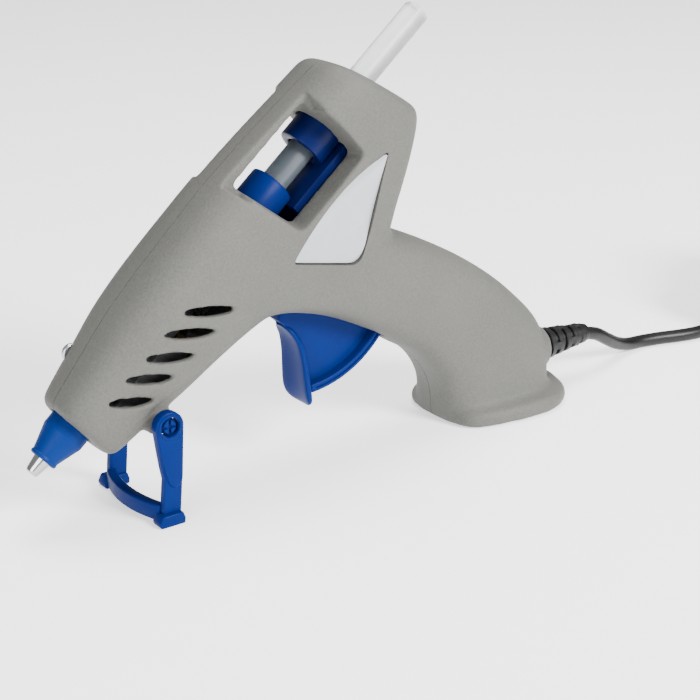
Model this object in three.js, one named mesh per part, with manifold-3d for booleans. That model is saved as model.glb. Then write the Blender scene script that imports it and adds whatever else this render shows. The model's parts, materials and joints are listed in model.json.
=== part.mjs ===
// Corded mini hot glue gun, standing on its handle foot and its fold-out stand.
// Millimetres, +Z up, nozzle towards -X, handle and cord towards +X, the gun's left side at -Y.
// The origin is on the standing surface, under the middle of the gun.
import * as THREE from 'three';
import { mergeVertices } from 'three/addons/utils/BufferGeometryUtils.js';
import Module from 'manifold-3d';

const wasm = await Module();
wasm.setup();

// ---------------------------------------------------------------- driving dimensions
const SLOPE = THREE.MathUtils.degToRad(40.2); // barrel axis against the standing surface
const TIP_X = -83.78; // nozzle tip, along the gun
const TIP_Z = 16.5; // nozzle tip, above the standing surface
const GAP = 0.3; // clearance between pieces that touch or nest
const WALL = 2.2; // housing wall
const SPLIT = 0.15; // each housing half stops this far from the middle plane
const EDGE = 3.2; // squareness of the barrel's section, 2 is an ellipse

// barrel frame: u along the axis from the nozzle tip, v square to it in the middle plane
const NOSE_U = 14.9; // front face of the housing
const REAR_U = 129.8; // rear face of the housing, where the axis meets it
const HALF_WIDTH = 14.5; // widest half of the housing

// glue stick and everything bored for it
const STICK_R = 3.5;
const STICK_LENGTH = 100;
const STICK_END_U = 154;
const BORE_R = STICK_R + 0.4;
const FEED_TRAVEL = 5.2; // carriage travel for a full squeeze

// nozzle and its boot
const BORE_TIP_R = 0.7;
const NOZZLE_TIP_R = 1.6;
const NOZZLE_BASE_R = 2.4;
const NOZZLE_SHOW = 4.8; // bare metal in front of the boot
const NOZZLE_BODY_R = 3.2;
const NOZZLE_SHANK_R = 2.6;
const BOOT_TIP_R = 3.5;
const BOOT_NECK_R = 5.6;
const BOOT_NECK_U = 11.8; // where the boot's cone turns into its collar
const BOOT_BACK_U = 18.4;

// melt chamber
const CHAMBER_R = 5.6;
const CHAMBER_U = [19, 60];
const HEATER = { u: 24, length: 22, width: 7, height: 2 };

// sleeve and guides
const SLEEVE_R = 6.2;
const SLEEVE_U = [55, 74];
const GUIDE_R = 6.0;
const GUIDE_U = [78.5, 94];
const GUIDE_FLANGE_R = 7.2;
const CARRIAGE_R = 6.5;
const CARRIAGE_U = [105.4, 122];
const SLED_TOP = -4.9;
const SLED_BOTTOM = -8.5;
const SLED_HALF = 6.9;
const SLED_FRONT_U = 92;
const TONGUE_FRONT_U = SLEEVE_U[1] + FEED_TRAVEL + 2 * GAP;
const LUG_HALF = 1.6;

// side windows
const WINDOW_U = [84.5, 112];
const WINDOW_V = [-6.5, 12.2];
const WINDOW_RAKE = 4.5; // the windows' front edge leans back by this much at its lower end
const WINDOW_FLARE = 1.6; // how much further the window opens at the outer surface
const RAIL_HALF = 5.6; // half width of the bridge above the windows
const SURROUND = 3.6; // wall round the windows, along the barrel

// trigger, in world X and Z from the nozzle tip's X and from the standing surface
const PIVOT = { x: 77.6, z: 51.7 };
const PIVOT_R = 1.5;
const HUB_R = 4.2;
const FIN_R = 32; // the fin's arc about the pivot
const RIM = 2.4;
const TRIGGER_HALF = 5.2; // rim and hub
const PAD_HALF = 6.2;
const WEB_HALF = 2.4;
const ARM_LENGTH = 13.7; // pivot to drive pin

// stand
const STAND_PIVOT = { x: 30.5, z: 26.2 };
const STAND_IN = HALF_WIDTH - 1.6; // inner face of a leg
const LEG = 2.7; // leg thickness across the gun
const EYE_R = 3.9;
const EYE_BORE_R = 2.55;
const FOOT_OUT = 0.95; // how far a foot pad stands proud of its leg

// handle: sections fan out round this point on the standing surface
const FAN = { x: 93, z: 0 };
const FOOT_HEIGHT = 5;

// badge pocket: its floor is a plane that follows the lean of the side
const BADGE_FLOOR = { y: 12.75, v: -16, tilt: THREE.MathUtils.degToRad(3.2) };
const BADGE_THICK = 0.5;

// housing screws
const SCREW_R = 1.15;
const SCREW_HEAD_R = 2.4;
const SCREW_HEAD = 1.5;
const SCREW_LENGTH = 17;
const BOSS_R = 2.9;

// strain relief and cord
const CORD_R = 2.0;
const CORD_SIDES = 8;
const RELIEF_X = 164.6; // housing face at the cord exit, from the tip
const RELIEF_Z = 13;
const RELIEF_LENGTH = 17;
const RELIEF_R = 4.7;
const RELIEF_END_R = 3.1;
const RELIEF_NECK_R = 3.6;
const RELIEF_FLANGE_R = 5.4;

// cable clamp inside the handle
const CLAMP_X = [150.2, 155];
const CLAMP_Y = [-5, -2.5];
const CLAMP_REACH = 6.3;
const CLAMP_SCREW_R = 0.8;
const POST_R = 2.1;

// heater pocket under the chamber
const TERMINAL = 0.4;
const POCKET_TOP = -CHAMBER_R + 0.2;
const POCKET_HEIGHT = HEATER.height + 2 * TERMINAL + 4 * GAP;

// drive pin between trigger and carriage, and the jaw that bites the stick
const DRIVE_PIN_R = 1.2;
const JAW_U = [107.5, 119.5];
const JAW_HALF = 1.5;
const JAW_PIN_R = 0.7;

// points round a section of the housing's outer and inner surfaces
const OUTER_POINTS = 24;
const INNER_POINTS = 16;

// cord, its coil and its plug, in world coordinates
const TIE = 0.7;
const TIE_TURN = -0.9;
const COIL = { x: 186, y: -8, inner: 18.4, outer: 27.2, base: TIE + GAP, height: 20.9 };
const CORD_START_X = TIP_X + RELIEF_X + RELIEF_LENGTH - 1.2;
const CORD_ROUTE = [
  [CORD_START_X, 0, RELIEF_Z],
  [103, 0.4, 11.2],
  [109, 1.6, 7.8],
  [115, 3.3, 4.6],
  [121, 4.6, 2.6],
  [127, 4.9, 2.05],
  [134, 3.4, 2.02],
  [141, 1.2, 2.02],
  [148, 0, 2.02],
  [153.4, 0.9, 2.1],
  [157.6, 3, 2.5],
  [160, 4.6, 2.8],
];
const PLUG = { x: 185, y: 7.1, length: 34, tail: 4.5, half: 13, height: 13.4 };
const PLUG_PIN = { r: 2, apart: 18.6, length: 19 };
const PLUG_BASE = COIL.base + COIL.height + GAP;
const LEAD_OUT = [
  [165.7, -10.8, PLUG_BASE + 2.1],
  [166.2, -5.1, PLUG_BASE + 2.5],
  [169.5, 1.2, PLUG_BASE + 3.4],
  [175.1, 5.6, PLUG_BASE + 4.8],
  [180.6, 7, PLUG_BASE + 6.2],
  [PLUG.x - GAP, PLUG.y, PLUG_BASE + PLUG.height / 2],
];

// ---------------------------------------------------------------- outlines
// barrel sections: u, half width, top v, bottom v, lean of the section (u per v)
const BARREL = [
  [NOSE_U, HALF_WIDTH - 6, 6.9, -10.4, 0],
  [NOSE_U + 0.7, HALF_WIDTH - 4.8, 7.9, -11.6, 0],
  [NOSE_U + 2.4, HALF_WIDTH - 4.3, 8.5, -12.2, 0],
  [24, HALF_WIDTH - 3.3, 9.8, -13, 0],
  [31, HALF_WIDTH - 2.5, 11.1, -13.8, 0],
  [40, HALF_WIDTH - 1.2, 12.8, -15, 0],
  [50, HALF_WIDTH - 0.4, 13.9, -16.2, 0],
  [60, HALF_WIDTH, 14.5, -18, 0],
  [70, HALF_WIDTH, 15, -21, 0],
  [82, HALF_WIDTH, 15.5, -27, 0],
  [95, HALF_WIDTH, 15.2, -32, 0],
  [105, HALF_WIDTH - 0.2, 14.7, -34, 0],
  [112.5, HALF_WIDTH - 0.4, 14.2, -30, 0],
  [120, HALF_WIDTH - 0.8, 13.8, -24.5, 0.1],
  [REAR_U - 4.6, HALF_WIDTH - 1.1, 13.5, -19.8, 0.22],
  [REAR_U - 1.4, HALF_WIDTH - 1.7, 12.9, -16.6, 0.31],
  [REAR_U, HALF_WIDTH - 3.4, 11.3, -14.6, 0.33],
];
// handle sections: angle about FAN, inner radius, outer radius, half width
const HANDLE_HALF = 11.8;
const HANDLE = [
  [127, 56.5, 64, HALF_WIDTH - 3],
  [120, 52, 67, HALF_WIDTH - 1.6],
  [108, 44.3, 69, HALF_WIDTH - 0.8],
  [93, 37, 66, HALF_WIDTH - 0.8],
  [78, 32.8, 61.5, HALF_WIDTH - 1.8],
  [63, 30.7, 60, HANDLE_HALF],
  [48, 31, 61.2, HANDLE_HALF - 0.4],
  [33, 31.3, 64.7, HANDLE_HALF],
  [20, 31.3, 69, HANDLE_HALF + 0.6],
  [10, 30.6, 69, HANDLE_HALF + 1.3],
  [0, 30.4, 66, HANDLE_HALF + 1.8],
];
// foot plan, one side: x from the tip, distance from the middle plane
const FOOT = [
  [124, 0],
  [124.2, 7.5],
  [126.6, 13.8],
  [132.5, 16.6],
  [141, 18],
  [150.5, 18.6],
  [158.5, 16.4],
  [164.8, 10.6],
  [168.4, 0],
];
// badge outline: three corners with curved sides, in barrel u and v
const BADGE = [
  new THREE.Vector2(80.1, -10.6),
  new THREE.Vector2(119.2, -11.7),
  new THREE.Vector2(94.1, -28.7),
];
// vent slots: centre x and z from the tip, length
const VENTS = [
  [44.3, 52.8, 17.4],
  [38.5, 48.1, 16.5],
  [33.3, 43, 15.4],
  [27.9, 38.3, 14.2],
  [23, 33.2, 13.3],
];
const VENT_HEIGHT = 2.6;
const VENT_TILT = THREE.MathUtils.degToRad(7.5); // their rear ends are lower
// screw places in gun x and z
const SCREWS = [
  fromBarrel(29, 8.4),
  fromBarrel(45, -13.4),
  fromBarrel(68, 10.6),
  fromBarrel(119.5, 9.9),
  { x: 113.6, z: 46.4 },
  { x: 130.5, z: 27.5 },
  { x: 134, z: 8.5 },
];

// ---------------------------------------------------------------- frames and helpers
function fromBarrel(u, v) {
  return {
    x: u * Math.cos(SLOPE) - v * Math.sin(SLOPE),
    z: TIP_Z + u * Math.sin(SLOPE) + v * Math.cos(SLOPE),
  };
}

function toBarrel({ x, z }) {
  const rise = z - TIP_Z;
  return {
    u: x * Math.cos(SLOPE) + rise * Math.sin(SLOPE),
    v: -x * Math.sin(SLOPE) + rise * Math.cos(SLOPE),
  };
}

const BARREL_FRAME = new THREE.Matrix4()
  .makeTranslation(0, 0, TIP_Z)
  .multiply(new THREE.Matrix4().makeRotationY(-SLOPE));

function solid(geometry) {
  const bare = geometry.clone();
  bare.deleteAttribute('normal');
  bare.deleteAttribute('uv');
  const merged = mergeVertices(bare, 1e-4);
  return new wasm.Manifold(new wasm.Mesh({
    numProp: 3,
    vertProperties: new Float32Array(merged.attributes.position.array),
    triVerts: new Uint32Array(merged.index.array),
  }));
}

function geometryOf(manifold) {
  const mesh = manifold.getMesh();
  const geometry = new THREE.BufferGeometry();
  geometry.setAttribute('position', new THREE.BufferAttribute(mesh.vertProperties, 3));
  geometry.setIndex(new THREE.BufferAttribute(mesh.triVerts, 1));
  return geometry;
}

function inGun(geometry) {
  return geometry.clone().applyMatrix4(BARREL_FRAME);
}

// rows between table rows, on a smooth curve through them
function smoothRows(rows, steps) {
  const result = [];
  const last = rows.length - 1;
  for (let i = 0; i < last; i += 1) {
    for (let k = 0; k < steps; k += 1) {
      const t = k / steps;
      result.push(rows[i].map((_, c) => {
        const p0 = rows[Math.max(i - 1, 0)][c];
        const p1 = rows[i][c];
        const p2 = rows[i + 1][c];
        const p3 = rows[Math.min(i + 2, last)][c];
        const bend = (2 * p0 - 5 * p1 + 4 * p2 - p3) * t * t + (3 * (p1 - p2) + p3 - p0) * t * t * t;
        return p1 + 0.5 * ((p2 - p0) * t + bend);
      }));
    }
  }
  result.push(rows[last]);
  return result;
}

// a closed body through rings of points
function loft(rings) {
  const count = rings[0].length;
  const points = rings.flat();
  const index = [];
  for (let r = 0; r + 1 < rings.length; r += 1) {
    for (let i = 0; i < count; i += 1) {
      const a = r * count + i;
      const b = r * count + ((i + 1) % count);
      index.push(a, b, b + count, a, b + count, a + count);
    }
  }
  [0, rings.length - 1].forEach((r) => {
    const centre = rings[r].reduce((sum, p) => sum.add(p), new THREE.Vector3()).divideScalar(count);
    points.push(centre);
    const middle = points.length - 1;
    for (let i = 0; i < count; i += 1) {
      const a = r * count + i;
      const b = r * count + ((i + 1) % count);
      index.push(...(r === 0 ? [b, a, middle] : [a, b, middle]));
    }
  });
  const geometry = new THREE.BufferGeometry().setFromPoints(points);
  geometry.setIndex(index);
  return outwards(geometry);
}

function outwards(geometry) {
  const p = geometry.attributes.position;
  const ids = geometry.index.array;
  const corner = [0, 1, 2].map(() => new THREE.Vector3());
  let volume = 0;
  for (let i = 0; i < ids.length; i += 3) {
    corner.forEach((c, k) => c.fromBufferAttribute(p, ids[i + k]));
    volume += corner[0].dot(corner[1].clone().cross(corner[2]));
  }
  if (volume < 0) {
    for (let i = 0; i < ids.length; i += 3) {
      [ids[i], ids[i + 1]] = [ids[i + 1], ids[i]];
    }
  }
  return geometry;
}

// a rounded-box section as offsets across (y) and up, around its middle
function sectionPoints(halfWidth, halfHeight, count) {
  const power = 2 / EDGE;
  return Array.from({ length: count }, (_, i) => {
    const angle = ((i + 0.5) / count) * 2 * Math.PI;
    const c = Math.cos(angle);
    const s = Math.sin(angle);
    return [
      halfWidth * Math.sign(c) * Math.abs(c) ** power,
      halfHeight * Math.sign(s) * Math.abs(s) ** power,
    ];
  });
}

// outline in x and z (or u and v), given a depth across the gun
function sideExtrude(shape, y0, y1, curveSegments = 8) {
  const geometry = new THREE.ExtrudeGeometry(shape, {
    depth: y1 - y0,
    bevelEnabled: false,
    curveSegments,
  });
  return geometry.rotateX(Math.PI / 2).translate(0, y1, 0);
}

function polygon(points) {
  return new THREE.Shape(points.map(([a, b]) => new THREE.Vector2(a, b)));
}

function box(x0, x1, y0, y1, z0, z1) {
  return new THREE.BoxGeometry(x1 - x0, y1 - y0, z1 - z0)
    .translate((x0 + x1) / 2, (y0 + y1) / 2, (z0 + z1) / 2);
}

// round bar across the gun
function acrossBar({ x, z }, radius, y0, y1, sides = 20) {
  return new THREE.CylinderGeometry(radius, radius, y1 - y0, sides)
    .translate(x, (y0 + y1) / 2, z);
}

// body turned about the barrel axis, from a closed profile of [radius, u]
function turned(profile, sides = 32) {
  const points = profile.map(([r, u]) => new THREE.Vector2(r, u));
  return new THREE.LatheGeometry(points, sides).rotateZ(-Math.PI / 2);
}

function ring(inner, outer, u0, u1, sides = 32) {
  return turned([[inner, u0], [outer, u0], [outer, u1], [inner, u1], [inner, u0]], sides);
}

function alongBarrel(radius, u0, u1, sides = 32) {
  return turned([[0, u0], [radius, u0], [radius, u1], [0, u1]], sides);
}

// tube of the given section along a smooth path
function tube(points, radius, sides, steps) {
  const path = new THREE.CatmullRomCurve3(points, false, 'centripetal');
  const corners = Array.from({ length: sides }, (_, i) => {
    const angle = (i / sides) * 2 * Math.PI;
    return new THREE.Vector2(radius * Math.cos(angle), radius * Math.sin(angle));
  });
  return new THREE.ExtrudeGeometry(new THREE.Shape(corners), {
    steps,
    extrudePath: path,
    bevelEnabled: false,
  });
}

// ---------------------------------------------------------------- housing
function barrelBody(inset, count = OUTER_POINTS) {
  const rings = BARREL.map(([u, halfWidth, top, bottom, lean]) => {
    const middle = (top + bottom) / 2;
    const points = sectionPoints(halfWidth - inset, (top - bottom) / 2 - inset, count);
    const station = THREE.MathUtils.clamp(u, NOSE_U + inset, REAR_U - inset);
    return points.map(([y, v]) => new THREE.Vector3(station - lean * (middle + v), y, middle + v));
  });
  const kept = rings.filter((r, i) => i === 0 || r[0].x - rings[i - 1][0].x > 0.05);
  return solid(inGun(loft(kept)));
}

function handleBody(inset, count = OUTER_POINTS) {
  const rings = smoothRows(HANDLE, inset > 0 ? 1 : 2).map(([degrees, inner, outer, halfWidth]) => {
    const angle = THREE.MathUtils.degToRad(degrees);
    const middle = (inner + outer) / 2;
    const points = sectionPoints(halfWidth - inset, (outer - inner) / 2 - inset, count);
    return points.map(([y, r]) => new THREE.Vector3(
      FAN.x + (middle + r) * Math.cos(angle),
      y,
      FAN.z + (middle + r) * Math.sin(angle),
    ));
  });
  return solid(loft(rings));
}

function footBody() {
  const side = new THREE.SplineCurve(FOOT.map(([x, y]) => new THREE.Vector2(x, y))).getPoints(24);
  const otherSide = side.slice(1, -1).reverse().map((p) => new THREE.Vector2(p.x, -p.y));
  const roundness = 2.2;
  const geometry = new THREE.ExtrudeGeometry(new THREE.Shape([...side, ...otherSide]), {
    depth: FOOT_HEIGHT,
    bevelThickness: roundness,
    bevelSize: roundness,
    bevelOffset: -roundness,
    bevelSegments: 3,
  }).translate(0, 0, -roundness);
  return solid(geometry).intersect(solid(box(100, 190, -40, 40, 0, 40)));
}

function cordCollar() {
  const profile = [[0, 148], [7.4, 148], [7.2, 160], [6.6, RELIEF_X - 1.2], [5.4, RELIEF_X], [0, RELIEF_X]];
  return solid(turned(profile, 28).translate(0, 0, RELIEF_Z));
}

function standBoss(side) {
  const inner = side * (STAND_IN - 6);
  const outer = side * (STAND_IN - GAP);
  return solid(acrossBar(STAND_PIVOT, EYE_R, Math.min(inner, outer), Math.max(inner, outer), 24));
}

const outerBody = [handleBody(0), footBody(), cordCollar(), standBoss(1), standBoss(-1)]
  .reduce((sum, piece) => sum.add(piece), barrelBody(0));
const innerBody = barrelBody(WALL, INNER_POINTS).add(handleBody(WALL, INNER_POINTS))
  .intersect(solid(box(0, 200, -40, 40, WALL, 140)));

function lens(length, height) {
  const half = length / 2;
  const radius = (half * half + (height / 2) ** 2) / height;
  const angle = Math.asin(half / radius);
  const shape = new THREE.Shape();
  shape.absarc(0, height / 2 - radius, radius, Math.PI / 2 - angle, Math.PI / 2 + angle, false);
  shape.absarc(0, radius - height / 2, radius, 1.5 * Math.PI - angle, 1.5 * Math.PI + angle, false);
  return shape;
}

function windowFlare(side) {
  const rings = [0, HALF_WIDTH + 2].map((depth) => {
    const grow = WINDOW_FLARE * (depth / HALF_WIDTH) ** 2;
    const y = side * (depth === 0 ? 0 : depth);
    const [u0, u1] = [WINDOW_U[0] - grow, WINDOW_U[1] + grow];
    const [v0, v1] = [WINDOW_V[0] - grow * 0.2, WINDOW_V[1] + grow * 0.4];
    return [[u0 + WINDOW_RAKE, v0], [u1, v0], [u1, v1], [u0, v1]].map(([u, v]) => new THREE.Vector3(u, y, v));
  });
  return solid(inGun(loft(rings)));
}

// the bridge over the windows is narrower than the barrel: both sides are scooped above it
function railScoop(side) {
  const outline = polygon([
    [WINDOW_U[0] - 1, WINDOW_V[1] - 3],
    [WINDOW_U[1] + 1.5, WINDOW_V[1] - 3],
    [WINDOW_U[1] + 3, WINDOW_V[1] + 8],
    [WINDOW_U[0] - 4, WINDOW_V[1] + 8],
  ]);
  const y = side * RAIL_HALF;
  const out = side * (HALF_WIDTH + 4);
  return solid(inGun(sideExtrude(outline, Math.min(y, out), Math.max(y, out))));
}

function badgeOutline(shrink) {
  const centre = BADGE.reduce((sum, p) => sum.add(p), new THREE.Vector2()).divideScalar(3);
  const corners = BADGE.map((p) => {
    const inward = centre.clone().sub(p);
    return p.clone().add(inward.multiplyScalar((2 * shrink) / inward.length()));
  });
  const [left, right, low] = corners;
  const pulls = [
    new THREE.Vector2(101, -4.9 - shrink),
    new THREE.Vector2(108.5 - shrink, -17.8 + shrink),
    low.clone().lerp(left, 0.5),
  ];
  const sides = [[left, right], [right, low], [low, left]]
    .map(([from, to], i) => new THREE.QuadraticBezierCurve(from, pulls[i], to));
  // each side stops short of its corners, and a short curve rounds the corner between them
  const rounding = [0.05, 0.06, 0.2];
  const shape = new THREE.Shape();
  sides.forEach((side, i) => {
    const begin = rounding[i];
    const end = 1 - rounding[(i + 1) % 3];
    for (let k = 0; k <= 6; k += 1) {
      const p = side.getPoint(begin + ((end - begin) * k) / 6);
      if (i === 0 && k === 0) shape.moveTo(p.x, p.y);
      else shape.lineTo(p.x, p.y);
    }
    const next = sides[(i + 1) % 3];
    const corner = side.getPoint(1);
    const to = next.getPoint(rounding[(i + 1) % 3]);
    shape.quadraticCurveTo(corner.x, corner.y, to.x, to.y);
  });
  return shape;
}

// slab of the badge's outline between two heights above the floor of its pocket
function badgeSlab(side, shrink, low, high) {
  const slab = sideExtrude(badgeOutline(shrink), low, high, 6)
    .translate(0, 0, -BADGE_FLOOR.v)
    .rotateX(-BADGE_FLOOR.tilt)
    .translate(0, BADGE_FLOOR.y, BADGE_FLOOR.v);
  const piece = solid(inGun(slab));
  return side > 0 ? piece : piece.mirror([0, 1, 0]);
}

function boss(place, radius) {
  return solid(acrossBar(place, radius, -HALF_WIDTH - 1, HALF_WIDTH + 1, 12));
}

function housingShell() {
  const [su0, su1] = [WINDOW_U[0] - SURROUND, WINDOW_U[1] + SURROUND];
  const pivot = toBarrel(PIVOT);
  // walls round the windows, ribs that carry the hot end, screw and pivot bosses
  const walls = [
    solid(inGun(box(su0, su1, -HALF_WIDTH, HALF_WIDTH, WINDOW_V[0] - 5, WINDOW_V[1] + 4))),
    solid(inGun(box(20.6, 22.6, -HALF_WIDTH, HALF_WIDTH, -16, 12))),
    solid(inGun(box(52.6, 54.4, -HALF_WIDTH, HALF_WIDTH, -18, 16))),
    solid(inGun(box(69, 70.8, -HALF_WIDTH, HALF_WIDTH, -12, 16))),
    ...SCREWS.map((place) => boss(place, BOSS_R)),
    boss(PIVOT, 4),
    solid(box(157.4, 159.2, -9, 9, 3, 24)),
    ...clampScrewPlaces().map((place) => solid(acrossBar(place, POST_R, SPLIT, HALF_WIDTH, 14))),
  ];
  const hollow = walls.reduce((space, wall) => space.subtract(wall), innerBody);
  let shell = outerBody.subtract(hollow);
  const cuts = [
    // hot end, sleeve and guide
    inGun(alongBarrel(BOOT_NECK_R + GAP, 0, BOOT_BACK_U - 2)),
    inGun(alongBarrel(BOOT_NECK_R + 1.2 + GAP, BOOT_BACK_U - 2, BOOT_BACK_U + GAP)),
    inGun(alongBarrel(CHAMBER_R + GAP, 20, 56)),
    inGun(alongBarrel(SLEEVE_R + GAP, 60, 77)),
    inGun(box(22.8, 50, -5.6, 5.6, -10.8, 0)),
    inGun(box(49, 57, -5.4, 5.4, -14, 0)),
    inGun(alongBarrel(GUIDE_R + GAP, 76, 90)),
    // carriage passage, fork slot, stick hole
    inGun(alongBarrel(CARRIAGE_R + GAP, 108, 124)),
    inGun(alongBarrel(BORE_R + 0.4, CARRIAGE_U[1] - 2, REAR_U + 10)),
    inGun(box(74, 124, -SLED_HALF - GAP, SLED_HALF + GAP, SLED_BOTTOM - GAP, -3)),
    inGun(box(73, 95.5, -4.7, 4.7, SLED_BOTTOM - 9, SLED_BOTTOM)),
    // trigger hub and fork, between the pivot bosses
    inGun(box(pivot.u - 9, pivot.u + 9, -TRIGGER_HALF - GAP, TRIGGER_HALF + GAP,
      pivot.v - 6, pivot.v + 8)),
    acrossBar(PIVOT, 5, -8.9, 0),
    acrossBar(PIVOT, PIVOT_R + GAP, -HALF_WIDTH + 2.2, HALF_WIDTH - 2.2),
    // strain relief neck and its flange pocket
    turned([[0, 149], [RELIEF_NECK_R + GAP, 149], [RELIEF_NECK_R + GAP, 175], [0, 175]], 24)
      .translate(0, 0, RELIEF_Z),
    turned([[0, 159.2], [RELIEF_FLANGE_R + GAP, 159.2], [RELIEF_FLANGE_R + GAP, 162], [0, 162]], 24)
      .translate(0, 0, RELIEF_Z),
  ];
  cuts.forEach((cut) => {
    shell = shell.subtract(solid(cut));
  });
  // trigger slot: the sector that the fin sweeps, from below the barrel into the handle
  const slot = new THREE.Shape();
  const [from, to] = [-132, -4].map(THREE.MathUtils.degToRad);
  const slotR = FIN_R + 2 * GAP;
  slot.moveTo(PIVOT.x, PIVOT.z);
  slot.lineTo(PIVOT.x + slotR * Math.cos(from), PIVOT.z + slotR * Math.sin(from));
  slot.absarc(PIVOT.x, PIVOT.z, slotR, from, to, false);
  shell = shell.subtract(solid(sideExtrude(slot, -TRIGGER_HALF - 0.4, TRIGGER_HALF + 0.4, 16)));
  [1, -1].forEach((side) => {
    shell = shell.subtract(windowFlare(side)).subtract(railScoop(side));
    VENTS.forEach(([x, z, length]) => {
      const cut = sideExtrude(lens(length, VENT_HEIGHT), 0, 14, 4).rotateY(VENT_TILT);
      shell = shell.subtract(solid(cut.translate(x, side > 0 ? 8.6 : -22.6, z)));
    });
    shell = shell.subtract(badgeSlab(side, 0, 0, 5));
    const pin = acrossBar(STAND_PIVOT, EYE_BORE_R - 2 * GAP - 0.4, 0, 9, 16);
    shell = shell.subtract(solid(pin.translate(0, side > 0 ? STAND_IN - 5 : -STAND_IN - 4, 0)));
  });
  return shell;
}

function housingHalves() {
  const shell = housingShell();
  const far = 60;
  const left = shell.intersect(solid(box(-10, 220, -far, -SPLIT, -5, 160)));
  let right = shell.intersect(solid(box(-10, 220, SPLIT, far, -5, 160)));
  let leftHalf = left;
  SCREWS.forEach((place) => {
    const face = screwFace(place);
    // screws enter from the right: clearance hole and head seat there, pilot hole on the left
    const hole = acrossBar(place, SCREW_R + GAP, face - screwLength(face) - GAP, 40, 16);
    const seat = acrossBar(place, SCREW_HEAD_R + GAP, face - GAP, 40, 20);
    right = right.subtract(solid(hole)).subtract(solid(seat));
    leftHalf = leftHalf.subtract(solid(hole));
  });
  clampScrewPlaces().forEach((place) => {
    const post = solid(acrossBar(place, POST_R - 0.2, CLAMP_Y[1] + GAP, 3, 14));
    const pilot = solid(acrossBar(place, CLAMP_SCREW_R + GAP, -20, CLAMP_Y[1] + 7, 12));
    right = right.add(post).subtract(pilot);
  });
  return { left: leftHalf, right };
}

// seat of a screw head, a little inside the right-hand surface at that place
function screwFace({ x, z }) {
  const probe = outerBody.intersect(solid(box(x - 0.4, x + 0.4, 0, 40, z - 0.4, z + 0.4)));
  return probe.boundingBox().max[1] - 2.6;
}

// a screw never reaches the left-hand surface
function screwLength(face) {
  return Math.min(SCREW_LENGTH, 2 * face);
}

function clampScrewPlaces() {
  const x = (CLAMP_X[0] + CLAMP_X[1]) / 2;
  return [-1, 1].map((s) => ({ x, z: RELIEF_Z + s * (CLAMP_REACH - 2.1) }));
}

// ---------------------------------------------------------------- hot end
function nozzle() {
  const back = CHAMBER_U[0] + 5;
  return turned([
    [BORE_TIP_R, 0],
    [NOZZLE_TIP_R - 0.3, 0],
    [NOZZLE_TIP_R, 0.4],
    [NOZZLE_BASE_R, NOZZLE_SHOW],
    [NOZZLE_BODY_R, 9],
    [NOZZLE_BODY_R, CHAMBER_U[0] - GAP],
    [NOZZLE_SHANK_R, CHAMBER_U[0] - GAP],
    [NOZZLE_SHANK_R, back],
    [NOZZLE_SHANK_R - 1, back],
    [BORE_TIP_R, 10],
    [BORE_TIP_R, 0],
  ], 24);
}

function nozzleBoot() {
  const inner = NOZZLE_BODY_R + GAP;
  const tip = NOZZLE_BASE_R + GAP;
  return turned([
    [tip, NOZZLE_SHOW - 0.4],
    [BOOT_TIP_R - 0.5, NOZZLE_SHOW - 0.4],
    [BOOT_TIP_R, NOZZLE_SHOW + 0.2],
    [BOOT_NECK_R - 0.1, BOOT_NECK_U],
    [BOOT_NECK_R, BOOT_NECK_U + 0.6],
    [BOOT_NECK_R, BOOT_BACK_U - 1.7],
    [BOOT_NECK_R + 1, BOOT_BACK_U - 1.7],
    [BOOT_NECK_R + 1, BOOT_BACK_U],
    [inner, BOOT_BACK_U],
    [inner, 9],
    [tip, NOZZLE_SHOW + 0.4],
    [tip, NOZZLE_SHOW - 0.4],
  ], 28);
}

function meltChamber() {
  const [u0, u1] = CHAMBER_U;
  const socket = NOZZLE_SHANK_R + GAP;
  const barrel = solid(turned([
    [socket, u0],
    [CHAMBER_R, u0],
    [CHAMBER_R, u1],
    [BORE_R, u1],
    [BORE_R, u0 + 9],
    [socket, u0 + 6.5],
    [socket, u0],
  ], 28));
  const half = HEATER.width / 2 + GAP;
  const wall = 0.9;
  const low = POCKET_TOP - POCKET_HEIGHT;
  const carrier = solid(box(HEATER.u - 1, HEATER.u + HEATER.length + 1, -half - wall, half + wall,
    low - wall, POCKET_TOP + 2));
  const bore = solid(alongBarrel(BORE_R, u0 + 8, u1));
  const pocket = solid(box(HEATER.u - 0.2, 70, -half, half, low, POCKET_TOP));
  return geometryOf(barrel.add(carrier.subtract(bore)).subtract(pocket));
}

function heater() {
  const top = POCKET_TOP - 2 * GAP - TERMINAL;
  const half = HEATER.width / 2;
  return box(HEATER.u + 0.4, HEATER.u + HEATER.length, -half, half, top - HEATER.height, top);
}

function heaterTerminal(upper) {
  const gap = upper ? GAP : 3 * GAP + TERMINAL + HEATER.height;
  const top = POCKET_TOP - gap;
  const half = HEATER.width / 2 - 0.5;
  const tail = { u: HEATER.u + HEATER.length + 4.5, half: 1.2 };
  const shape = polygon([
    [HEATER.u + 1, -half],
    [tail.u - 3, -half],
    [tail.u, -tail.half],
    [tail.u, tail.half],
    [tail.u - 3, half],
    [HEATER.u + 1, half],
  ]);
  return new THREE.ExtrudeGeometry(shape, { depth: TERMINAL, bevelEnabled: false })
    .translate(0, 0, top - TERMINAL);
}

function inletSleeve() {
  const over = CHAMBER_R + GAP;
  const [u0, u1] = SLEEVE_U;
  return turned([
    [over, u0 + 1],
    [over + 1.1, u0 + 1],
    [over + 1.1, u0 + 6.4],
    [SLEEVE_R, u0 + 7.4],
    [SLEEVE_R, u1],
    [BORE_R, u1],
    [BORE_R, CHAMBER_U[1] + GAP],
    [over, CHAMBER_U[1] + GAP],
    [over, u0 + 1],
  ], 28);
}

function sleeveClamp() {
  const inner = CHAMBER_R + GAP + 1.1 + GAP;
  return ring(inner, inner + 0.6, SLEEVE_U[0] + 2, SLEEVE_U[0] + 4.6, 28);
}

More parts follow.
